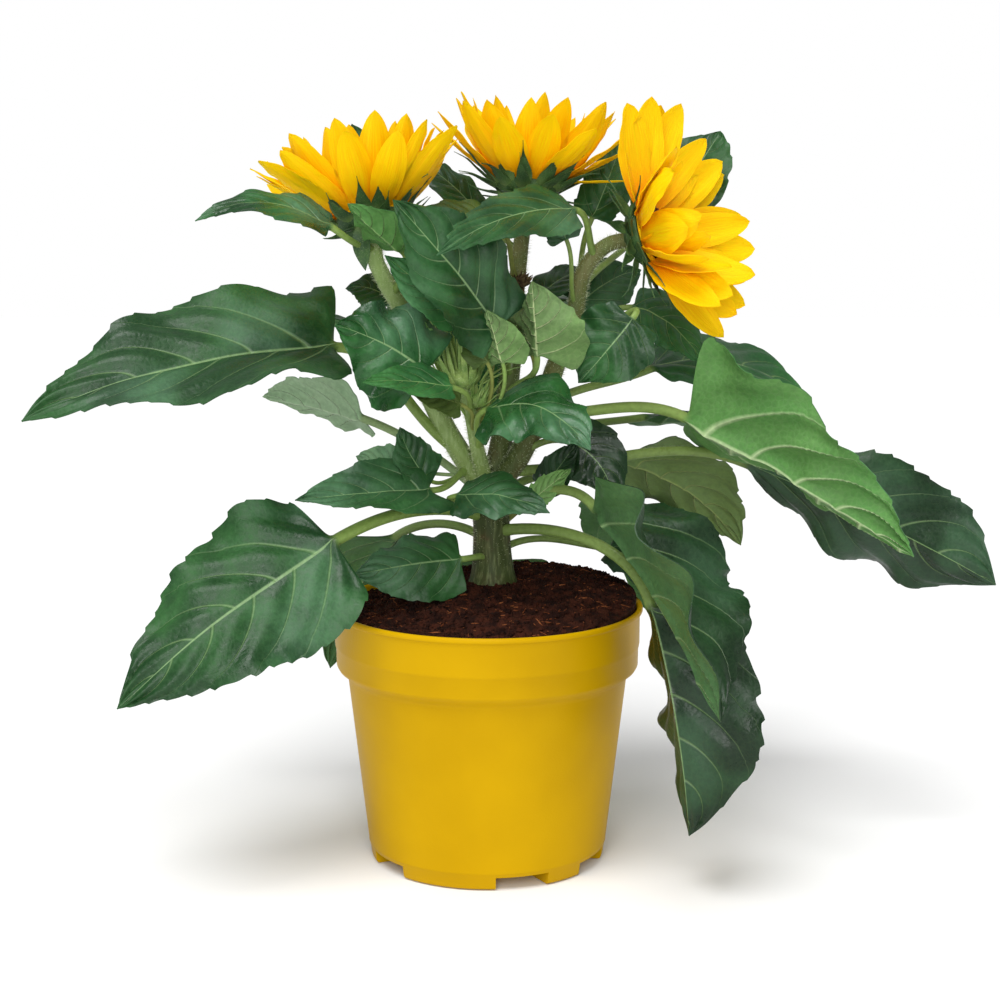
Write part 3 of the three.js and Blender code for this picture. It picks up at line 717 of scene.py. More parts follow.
class Skin(Enum):
    """The finishes other than those of leaves and stems. DOWN is the grain of fine hairs."""

    PETAL = PetalFinish((0xFFB800, 0xFFCA00), 0xFF9600, 0.1, 0.45)
    BRACT = PatchFinish(
        0x20401A, 0x375A24, (90.0, 3.0), (0.55, 0.7), 0.0004, grain=DOWN,
        along=Layer(0.0, 0.3, 0.5, 0.0, 0x7E9A50), hairs=Layer(0.55, 0.75, 0.0, 0.3, 0x9DB478),
    )
    YOUNG_BRACT = PatchFinish(
        0x729448, 0x98B260, (140.0, 3.0), (0.55, 0.7), 0.0004, grain=DOWN,
        along=Layer(0.5, 1.0, 0.0, 0.5, 0x5A8040), hairs=Layer(0.55, 0.75, 0.0, 0.5, 0xD4DEAC),
    )
    DRIED_BUD = PatchFinish(0x3A2C1A, 0x66563A, (420.0, 3.0), (0.75, 0.9), 0.0004, 0.2)
    DISC = PatchFinish(
        0x2E120A, 0x4C2210, (500.0, 3.0), (0.75, 0.9), 0.0003, along=Layer(0.55, 0.95, 0.0, 0.8, 0x86421A)
    )
    POT = PatchFinish(
        0xB48C00, 0xBE9500, (14.0, 3.0), (0.36, 0.44), 0.00008, 0.06, (0.3, 0.7), PLASTIC_GRAIN
    )
    SOIL = PatchFinish(
        0x1E0D08, 0x3E1E12, (160.0, 5.0), (0.85, 1.0), 0.0012, 0.12, (0.35, 0.68), PEAT_GRAIN, rough_grain=True
    )
    FIBRE = PatchFinish(
        0x5A2C16, 0x8A5230, (160.0, 5.0), (0.85, 1.0), 0.0012, 0.12, (0.35, 0.68), PEAT_GRAIN, rough_grain=True
    )
    HAIR = PlainFinish(0xC4CEA8, 0.8, 0.2)


# Veins, counted the same way for the mesh and for the shader


VEIN_PAIRS = 5.4
VEIN_SWEEP = 0.38
VEIN_POWER = 1.3
LEFT_SHIFT = 0.45
# The blue-grey of the painted sheen: a painted reflection of the white studio on the leaves' upper sides.
PAINTED_SHEEN_GREY = 0x688A74


def vein_phase(across: Array, part: Array) -> Array:
    """Count the side veins along the midrib.

    The count rises by one from each vein to the next. A vein leaves the midrib at a half count and
    sweeps forward by VEIN_SWEEP of the blade by its margin. The left half's veins stand between the
    right half's.

    Args:
        across: -1 at the left margin, 0 at the midrib, 1 at the right margin.
        part: 0 at the blade's root and 1 at its tip.

    Returns:
        The count, whose distance from the nearest half is the distance from a vein.
    """
    return VEIN_PAIRS * (part - VEIN_SWEEP * np.abs(across) ** VEIN_POWER) + LEFT_SHIFT * (across < 0)


@cache
def vein_group() -> bpy.types.NodeTree:
    """Build the group that finds veins, midrib, underside and petiole from a leaf's own map.

    The lowest pair of side veins is the strongest, and all fade towards the margin.

    Returns:
        The group, which takes the width of a vein in counts.
    """
    graph, take, give = new_group("leaf marks", ("Width",), ("Vein", "Rib", "Under", "Stalk"))
    u, part = graph.sheet_place()
    under = graph.math("GREATER_THAN", u, 1.5)
    across = graph.math("MULTIPLY_ADD", graph.math("MULTIPLY_ADD", under, -2.0, u), 2.0, -1.0)
    out = graph.math("ABSOLUTE", across)
    swept = graph.math("MULTIPLY_ADD", graph.math("POWER", out, VEIN_POWER), -VEIN_SWEEP, part)
    left = graph.math("MULTIPLY", graph.math("LESS_THAN", across, 0.0), LEFT_SHIFT)
    count = graph.math("MULTIPLY_ADD", swept, VEIN_PAIRS, left)
    away = graph.math("ABSOLUTE", graph.math("SUBTRACT", graph.math("FRACT", count), 0.5))
    lowest = graph.math("LESS_THAN", count, 1.0)
    broad = graph.math("MULTIPLY_ADD", lowest, 0.4, graph.math("MULTIPLY_ADD", out, -0.75, 1.0))
    width = graph.math("MULTIPLY", take["Width"], broad)
    line = graph.math("SUBTRACT", 1.0, graph.math("MINIMUM", graph.math("DIVIDE", away, width), 1.0))
    inside = graph.math("MULTIPLY", graph.math("GREATER_THAN", swept, 0.0), graph.span(out, 0.2, 1.0, 1.0, 0.3))
    rib_width = graph.math("MULTIPLY_ADD", part, -0.014, 0.024)
    graph.put(give["Vein"], graph.math("MULTIPLY", line, inside))
    graph.put(give["Rib"], graph.span(graph.math("DIVIDE", out, rib_width), 0.4, 1.4, 1.0, 0.0))
    graph.put(give["Under"], under)
    graph.put(give["Stalk"], graph.span(part, -0.02, 0.03, 1.0, 0.0))
    return graph.tree


@dataclass(frozen=True)
class LeafFinish(Finish):
    """The colours of one kind of leaf as 24-bit codes, and how its upper side looks.

    That is how matt it is, the greatest share of the blue-grey sheen painted into its colour as a painted
    reflection of the white studio, and the width of its veins in counts.
    """

    gloss = 0.28
    family = "leaf "

    dark: int
    light: int
    vein: int
    under: int
    stalk: int
    rough: float
    painted_sheen: float
    vein_width: float = 0.055

    def inked(self, graph: Graph, skin: Socket, *lines: tuple[Socket, float]) -> Socket:
        """Lay the veins' colour over another.

        Args:
            graph: the material's tree.
            skin: the other colour.
            lines: masks of lines, each with its greatest share.

        Returns:
            The colour with its lines.
        """
        for line, share in lines:
            skin = graph.blend(graph.math("MULTIPLY", line, share), skin, rgb(self.vein))
        return skin

    def wire(self, graph: Graph) -> tuple:
        """Wire colour, roughness and relief from the leaf's marks and from noise.

        Args:
            graph: the material's tree.

        Returns:
            Colour, roughness, height and depth.
        """
        marks = graph.use(vein_group(), {"Width": self.vein_width})
        vein, under = marks["Vein"], marks["Under"]
        soft = patches(graph, (34.0, 3.0), (0.35, 0.66), (420.0, 4.0))
        cloud, fine = soft["Cloud"], soft["Grain"]
        place = graph.solid_place()
        cell = graph.cells(place, 300.0, "DISTANCE_TO_EDGE")
        net = graph.span(cell, 0.0, 0.16, 1.0, 0.0)
        top = graph.blend(soft["Patch"], rgb(self.dark), rgb(self.light))
        # Painted sheen: noise lays patches of the blue-grey painted reflection over the upper side's colour.
        top = Layer(0.46, 0.7, 0.0, self.painted_sheen, PAINTED_SHEEN_GREY).lay(graph, graph.noise(place, 17.0, 2.0), top)
        top = self.inked(graph, top, (net, 0.02), (vein, 0.55))
        low = Layer(0.4, 0.7, 0.0, 0.4, self.light).lay(graph, cloud, rgb(self.under))
        low = self.inked(graph, low, (vein, 0.85), (net, 0.05))
        skin = self.inked(graph, graph.blend(under, top, low), (marks["Rib"], 0.75))
        skin = graph.blend(marks["Stalk"], skin, rgb(self.stalk))
        shade = graph.span(fine, 0.2, 0.8, 0.84, 1.12)
        skin = graph.add("ShaderNodeVectorMath", {0: skin, "Scale": shade}, operation="SCALE").outputs[0]
        rough = graph.math("MULTIPLY_ADD", under, 0.22, self.rough)
        rough = graph.math("ADD", rough, graph.span(fine, 0.3, 0.7, -0.04, 0.08))
        rough = graph.math("ADD", rough, graph.span(cloud, 0.35, 0.6, -0.04, 0.1))
        height = graph.math("MULTIPLY_ADD", cell, 0.3, graph.math("MULTIPLY", fine, 0.3))
        sunk_or_raised = graph.math("MULTIPLY_ADD", under, 1.9, -0.7)
        return skin, rough, graph.math("MULTIPLY_ADD", vein, sunk_or_raised, height), 0.0006


class LeafKind(Enum):
    """The kinds of leaf finish."""

    # A copy of the dark leaf colours made darker still: painted shade for the leaves that lie low, inside the
    # crown and at its lower right.
    DEEP = LeafFinish(0x0E2610, 0x183A19, 0x74905E, 0x3B6032, 0x6E8444, 0.33, 0.12)
    DARK = LeafFinish(0x17391A, 0x275426, 0x7E9C6A, 0x4A7442, 0x748C46, 0.36, 0.24)
    MID = LeafFinish(0x214F27, 0x30662F, 0x86A466, 0x4C7A3A, 0x748C46, 0.4, 0.2)
    RIBBED = LeafFinish(0x214F27, 0x3F7634, 0xA8BC8C, 0x52803F, 0x748C46, 0.4, 0.2, 0.075)
    OLIVE = LeafFinish(0x34491C, 0x4B5F24, 0x829052, 0x5C7440, 0x7C8442, 0.46, 0.1)
    # SHINY: lower roughness, and the largest share of painted sheen.
    SHINY = LeafFinish(0x163A1A, 0x285C2A, 0x7E9C6A, 0x4A7442, 0x748C46, 0.24, 0.45)
    YOUNG = LeafFinish(0x486F34, 0x628846, 0xBCCA94, 0x607C4A, 0x7E9A50, 0.5, 0.1, 0.07)
    # PALE: a pale grey-green underside, made lighter still as painted light where it lies in the shadow of the
    # leaf above it.
    PALE = LeafFinish(0x587E5C, 0x74966E, 0xA4B898, 0x88A280, 0x829868, 0.55, 0.2)


# Stems


SCAR = 0x4E3218
STEM_SIDES = 40
STEM_ROW = 1.6
HAIR_RADIUS = 0.13


@dataclass(frozen=True)
class StemFinish(Finish):
    """A stem's colours as 24-bit codes: two near its foot, made darker as painted shade where the stem stands
    among the leaves, two above, and its streaks.
    """

    gloss = 0.3
    family = "stem "

    foot: tuple[int, int]
    upper: tuple[int, int]
    streak: int

    def wire(self, graph: Graph) -> tuple:
        """Wire colour, roughness and relief from the height and from noise drawn out upward.

        Args:
            graph: the material's tree.

        Returns:
            Colour, roughness, height and depth.
        """
        place = graph.solid_place()
        height = graph.add("ShaderNodeSeparateXYZ", {0: place}).outputs[2]
        stretch = graph.add("ShaderNodeMapping", {"Vector": place, "Scale": (1.0, 1.0, 0.12)}).outputs[0]
        streak = graph.noise(stretch, 700.0)
        soft = patches(graph, (60.0, 3.0), (0.35, 0.65))
        patch = soft["Cloud"]
        # Painted shade: below about 0.19 m the stem takes the darker foot colours, turning to the upper ones by
        # 0.26 m.
        low = graph.blend(graph.span(patch, 0.4, 0.6), rgb(self.foot[0]), rgb(self.foot[1]))
        high = graph.blend(soft["Patch"], rgb(self.upper[0]), rgb(self.upper[1]))
        skin = graph.blend(graph.span(height, 0.19, 0.26), low, high)
        scar = graph.math("MULTIPLY", graph.span(patch, 0.5, 0.6), graph.span(height, 0.2, 0.228, 1.0, 0.0))
        skin = graph.blend(graph.math("MULTIPLY", scar, 0.75), skin, rgb(SCAR))
        skin = Layer(0.45, 0.75, 0.0, 0.4, self.streak).lay(graph, streak, skin)
        return skin, graph.span(patch, 0.2, 0.8, 0.55, 0.7), streak, 0.0004


class StemKind(Enum):
    """The kinds of stem finish."""

    PALE = StemFinish((0x5E7034, 0x54602C), (0x7C9454, 0x8CA264), 0xA8BC88)
    BROWN = StemFinish((0x343F16, 0x3C3C1A), (0x566632, 0x66663C), 0x7E8858)


@dataclass(frozen=True)
class Stem:
    """A tapering limb along a smooth curve through some points.

    It may end at the foot of a head or bud, and flare says how much wider its own foot is.
    """

    node: str
    points: list
    radii: tuple[float, float]
    kind: StemKind
    ends: str = ""
    flare: float = 0.0

    def axis(self, carried: dict[str, tuple[Array, Array, float, float]]) -> Array:
        """Give the curve of the stem's axis.

        Args:
            carried: for each head or bud that ends a stem, its place, its axis, and how far behind
                it the stem turns square and ends.

        Returns:
            Points close together on the axis.
        """
        points = [np.array(p, float) for p in self.points]
        if self.ends:
            place, axis, *behind = carried[self.ends]
            points += [place - unit(axis) * far for far in behind]
        return spline(np.array(points))

    def form(self, curve: Array, seed: float) -> Form:
        """Make the limb: ribs along it, slow swellings, and a wider foot.

        Args:
            curve: its axis.
            seed: makes one stem's swellings unlike another's.

        Returns:
            The closed limb.
        """
        path, tangent, distance = along_path(curve, max(24, int(path_length(curve) / STEM_ROW)))
        angle = circle(STEM_SIDES)
        radius = mix(*self.radii, distance / distance[-1])[:, None]
        radius = radius + self.flare * np.exp(-distance / 9.0)[:, None]
        ribs = 0.2 * np.abs(np.sin(4.5 * angle[None] + 0.012 * distance[:, None] + seed)) ** 1.5
        lumps = 0.3 * waves(seed, distance[:, None] * 0.11, np.cos(angle)[None] * 1.2)
        if self.flare:
            tangent[0] = UP
        return tube(path, tangent, radius + ribs + lumps - 0.15, STEM_SIDES)

    def hairs(self, curve: Array, seed: float, pitch: float = 0.09) -> Form:
        """Set fine upright hairs all over the limb.

        Args:
            curve: its axis.
            seed: scatters them.
            pitch: the length of limb that has one hair.

        Returns:
            Closed spikes in one form.
        """
        path, tangent, _ = along_path(curve, int(path_length(curve) / pitch))
        k = np.arange(len(path))
        angle = np.pi * hash_noise(seed + 0.5, k)
        side, other = square_to(tangent)
        out = side * np.cos(angle)[:, None] + other * np.sin(angle)[:, None]
        root = mix(*self.radii, k / len(k)) - 0.2
        return spikes(path + out * root[:, None], out, tangent, 1.9 + 0.8 * hash_noise(seed + 1, k), seed)


def spikes(foot: Array, out: Array, along: Array, length: Array, seed: float) -> Form:
    """Set a thin three-sided spike at each place.

    Args:
        foot: (n, 3) where the spikes stand.
        out: (n, 3) the way they point.
        along: (n, 3) a direction square to that.
        length: how long each is.
        seed: makes their lean uneven.

    Returns:
        Closed spikes in one form.
    """
    k = np.arange(len(foot))
    lean = unit(out + along * (0.35 + 0.3 * hash_noise(seed + 2, k))[:, None])
    turn = circle(3)
    across = np.cross(out, along)
    ring = along[:, None] * np.cos(turn)[None, :, None] + across[:, None] * np.sin(turn)[None, :, None]
    base = foot[:, None] + HAIR_RADIUS * ring
    points = np.concatenate([base, (foot + lean * length[:, None])[:, None]], axis=1).reshape(-1, 3)
    corners = np.array([[0, 2, 1, -1], [0, 1, 3, -1], [1, 2, 3, -1], [2, 0, 3, -1]])
    faces = np.where(corners < 0, -1, corners + (4 * k)[:, None, None]).reshape(-1, 4)
    return Form(points, faces, np.zeros((len(faces), 4, 2)))


STEMS = {
    "main": Stem(
        "main_stem", [(3, 0, 154.8), (2.5, 0, 178), (1.5, 0, 198), (1, 0, 214)], (10.2, 9.8),
        StemKind.BROWN, flare=3.4,
    ),
    "left": Stem(
        "left_flower_stem", [(-1, -1, 206), (-15, -5, 227), (-31, -8, 259), (-42, -13, 297)], (6.2, 4.2),
        StemKind.PALE, "left",
    ),
    "middle": Stem(
        "middle_flower_stem", [(2, 2, 206), (7, 6, 229), (12, 10, 265), (15, 12, 308)], (6.4, 3.9),
        StemKind.BROWN, "middle",
    ),
    "right": Stem(
        "right_flower_stem", [(4, -1, 206), (19, -1, 227), (34, 0, 265), (47, 0, 303), (52, 0, 325)],
        (6.3, 4.1), StemKind.BROWN, "right",
    ),
    "shoot": Stem(
        "centre_shoot", [(0, -4, 207), (-5, -12, 229), (-9, -18, 249)], (4.4, 3.2), StemKind.PALE, "bud"
    ),
}


# Leaves


TOOTH_PITCH = 11.5
LARGE_LEAF = 150


def spread(direction: Array, amount: Array) -> Array:
    """Give each row's direction times the amount of each point of the row."""
    return direction[..., None, :] * amount[..., None]


@dataclass(frozen=True)
class Grid:
    """The points of a blade before it is bent, rows along it and columns across.

    For each row there are the part t of the blade's length, the place on the leaf's middle, and the
    ways to the tip, up and to the right. For each column there is its part v of the half width, from
    -1 to 1. The share big goes from 0.3 for the smallest leaves to 1 for the largest.
    """

    t: Array
    v: Array
    half: Array
    centre: Array
    tangent: Array
    normal: Array
    right: Array
    seed: float
    big: float

    @property
    def out(self) -> Array:
        """Give 0 on the midrib and 1 on the margins."""
        return np.abs(self.v)

    @property
    def sign(self) -> Array:
        """Give -1 on the left half and 1 on the right one."""
        return np.sign(self.v)

    @property
    def fade(self) -> Array:
        """Give 1 over the blade, and 0 at its root and tip."""
        return ease(self.t / 0.12) * ease((1 - self.t) / 0.08)

    def waves(self, shift: float, pace: float, apart: float = 1.0) -> Array:
        """Give waves along the blade that differ on its two halves."""
        return waves(self.seed + shift, self.t * pace + self.sign * apart)


@dataclass(frozen=True)
class Leaf:
    """One leaf: a petiole from its stem and a blade folded along the midrib.

    The fields are the foot's stem and height on it, where the blade starts and its tip, the blade's
    width, how far its middle stands off the straight line, the way its upper side faces, how far the
    left and right halves rise in degrees, how much they curl, and the petiole's radius. Then come how
    steeply the petiole leaves the stem, how far the blade's corners reach back, its widest place, its
    relative width at the root on both sides, and the power of the widening between these.
    """

    name: str
    stem: str
    foot: float
    base: tuple
    tip: tuple
    width: float
    bow: tuple
    face: tuple
    wings: tuple[float, float]
    curl: float
    petiole: float
    spring: float = 0.7
    heart: float = 0.35
    widest: float = 0.28
    roots: tuple = (0.5, 0.5)
    shoulder: float = 0.5
    kind: LeafKind = LeafKind.DARK
    wavy: float = 1.0

    @property
    def length(self) -> float:
        """Give the straight distance from the blade's root to its tip."""
        return float(np.linalg.norm(np.subtract(self.tip, self.base)))

    def path(self, axis: Array, rows: int, petiole_rows: int) -> tuple[Array, Array, Array]:
        """Follow the leaf's middle from its stem to its tip.

        The petiole is a cubic Bezier curve that leaves the stem's axis outward and upward and runs
        into the midrib, which is a quadratic one.

        Args:
            axis: the curve of the stem's axis.
            rows: stations on the blade.
            petiole_rows: stations on the petiole.

        Returns:
            The stations, their tangents, and each one's part of the blade, below zero on the petiole.
        """
        base, tip = np.array(self.base, float), np.array(self.tip, float)
        foot = axis[np.argmin(np.abs(axis[:, 2] - self.foot))]
        control = (base + tip) / 2 + 2 * np.array(self.bow, float)
        gap = np.linalg.norm(base - foot)
        leaving = unit(unit((base - foot) * [1, 1, 0]) + UP * self.spring)
        start = foot + leaving * gap * 0.38
        end = base - unit(control - base) * gap * 0.34
        t = np.linspace(0, 1, petiole_rows + 1)[:-1]
        s = 1 - (1 - np.linspace(0, 1, rows)) ** 1.15
        points = np.vstack([bezier([foot, start, end, base], t), bezier([base, control, tip], s)])
        return points, unit(np.gradient(points, axis=0)), np.concatenate([t - 1, s])

    def half_width(self, part: Array, across: Array) -> Array:
        """Give half the blade's width: part of an ellipse to the widest place, then a pointed curve.

        Args:
            part: the part of the length.
            across: below zero on the left half.

        Returns:
            The half width of each point's row on its side.
        """
        root = np.where(across < 0, *self.roots)
        back = np.maximum(0, (self.widest - part) / self.widest)
        ahead = np.maximum(0, (part - self.widest) / (1 - self.widest))
        behind = (1 - (1 - root**2) * np.minimum(back, 1) ** 2) ** self.shoulder
        return np.maximum(self.width / 2 * behind * (1 - ahead**1.8), 0.25)

    def across(self, grid: Grid) -> Array:
        """Give each point's distance from the midrib, with an uneven toothed margin.

        The teeth are a saw that rises slowly towards the tip and falls back at once. Waves change
        its pace and its depth.

        Args:
            grid: the blade's points.

        Returns:
            The distances, below zero on the left half.
        """
        saw = (grid.t * self.length / TOOTH_PITCH + 0.5 * grid.waves(0, 9) + 0.35 * grid.sign) % 1.0
        depth = mix(0.6, 2.0, grid.big) * (1 + 0.7 * grid.waves(4, 14))
        teeth = (saw**1.4 - 0.45) * depth * grid.out**6 * grid.fade
        edge = 0.055 * grid.waves(5, 6, 3) + 0.026 * grid.waves(6, 19)
        uneven = 1 + self.wavy * edge * grid.out**2 * grid.fade
        return (grid.half * grid.out * uneven + teeth) * grid.sign

    def relief(self, grid: Grid) -> tuple[Array, Array]:
        """Give how far each point stands off the plain blade.

        The margin waves up and down, the surface puffs up between the side veins, and it sinks along
        the midrib.

        Args:
            grid: the blade's points.

        Returns:
            The height, and how far the side veins stand out below.
        """
        t, out, sign = grid.t, grid.out, grid.sign
        size = grid.half / 40
        ruffle = 3.6 * size * out**2.2 * np.sin(2 * np.pi * t * (2.6 + sign * 0.5) + grid.seed + sign * 1.9)
        ruffle = ruffle + 2.0 * size * out**3 * grid.waves(9, 10, 2)
        ruffle = ruffle + 1.6 * size * waves(grid.seed + 2, t * 4, grid.v)
        count = vein_phase(grid.v, t)
        away = np.abs(count - np.floor(count) - 0.5) * 2
        puff = mix(0.4, 1.7, grid.big) * (ease(away / 0.9) - 0.5) * ease(out / 0.25) * ease((1.02 - out) / 0.3)
        groove = -0.9 * grid.big * np.exp(-((out * grid.half / 2.6) ** 2))
        inside = ease((t - VEIN_SWEEP * out**VEIN_POWER) / 0.04) * (1 - out**3)
        ridge = self.wavy * mix(0.2, 0.75, grid.big) * np.exp(-((away / 0.22) ** 2)) * inside
        return (self.wavy * (ruffle + puff) + groove) * grid.fade, ridge

    def blade(self, grid: Grid) -> Array:
        """Bend the grid into the two skins of the blade.

        Args:
            grid: the blade's points.

        Returns:
            A ring for each row, over the upper side to the right and back below.
        """
        t, out, sign = grid.t, grid.out, grid.sign
        across = self.across(grid)
        relief, ridge = self.relief(grid)
        wing = np.where(grid.v < 0, *self.wings)
        lift, slope = np.radians(wing + self.curl * out / 2), np.radians(wing + self.curl * out)
        rise = grid.half * out * np.sin(lift)
        back_set = self.heart * grid.half * np.maximum(0, 1 - t / 0.45) ** 1.5
        middle = grid.centre[:, None] + spread(grid.right, across * np.cos(lift))
        middle = middle + spread(grid.normal, rise + relief * np.cos(slope))
        middle = middle - spread(grid.right, relief * sign * np.sin(slope))
        middle = middle - spread(grid.tangent, back_set * out**1.5)
        facing = spread(grid.normal, np.cos(slope)) - spread(grid.right, sign * np.sin(slope))
        rib = 1.25 * self.petiole * (1 - 0.8 * t) * np.exp(-((across / (self.petiole * mix(1.0, 0.45, t))) ** 2))
        skin = max(self.length / 210, 0.5) / 2
        lower = middle - facing * (skin + (rib + ridge) * ease((1 - t) / 0.1))[..., None]
        return np.concatenate([middle + facing * skin, lower[:, ::-1]], axis=1)

    def stalk(self, grid: Grid) -> Array:
        """Give the petiole's rings: round, a little flat above, and wider at the stem.

        Args:
            grid: the blade's points.

        Returns:
            A ring for each row, in the order of the blade's.
        """
        centre, columns = grid.centre, grid.v.size
        turn = np.pi * (1 - (np.arange(columns) + 0.5) / columns)
        turn = np.concatenate([turn, -turn[::-1]])
        distance = np.linalg.norm(np.diff(centre, axis=0, prepend=centre[:1]), axis=1).cumsum()
        thick = 0.84 * self.petiole * (1 + 0.45 * np.exp(-distance / 6))[:, None]
        thick = thick * (1 - 0.16 * np.clip(np.sin(turn), 0, 1) ** 3)
        rings = centre[:, None] + spread(grid.right, thick * np.cos(turn))
        return rings + spread(grid.normal, thick * np.sin(turn))

    def form(self, axis: Array, seed: float) -> Form:
        """Make the closed leaf, whose petiole turns into the blade over a short way.

        Args:
            axis: the curve of the stem's axis.
            seed: makes one leaf's waves unlike another's.

        Returns:
            The leaf. V is its part of the blade's length, below zero on the petiole.
        """
        big = np.clip(self.length / LARGE_LEAF, 0.3, 1)
        rows, columns = int(mix(34, 120, big)), int(mix(13, 39, big) // 2 * 2 + 1)
        centre, tangent, part = self.path(axis, rows, int(mix(14, 26, big)))
        t = np.maximum(part, 0)[:, None]
        x = np.linspace(-1, 1, columns)
        v = (0.75 * x + 0.25 * x**3)[None]
        face = np.array(self.face, float)
        normal = unit(face - tangent * (tangent @ face)[:, None])
        half = np.maximum(self.half_width(t, v), self.petiole * (1 - t))
        grid = Grid(t, v, half, centre, tangent, normal, np.cross(tangent, normal), seed, big)
        rings = mix(self.stalk(grid), self.blade(grid), ease(part / 0.07)[:, None, None])
        u, far = skin_u(v[0])
        return loft(rings, u, part, far)


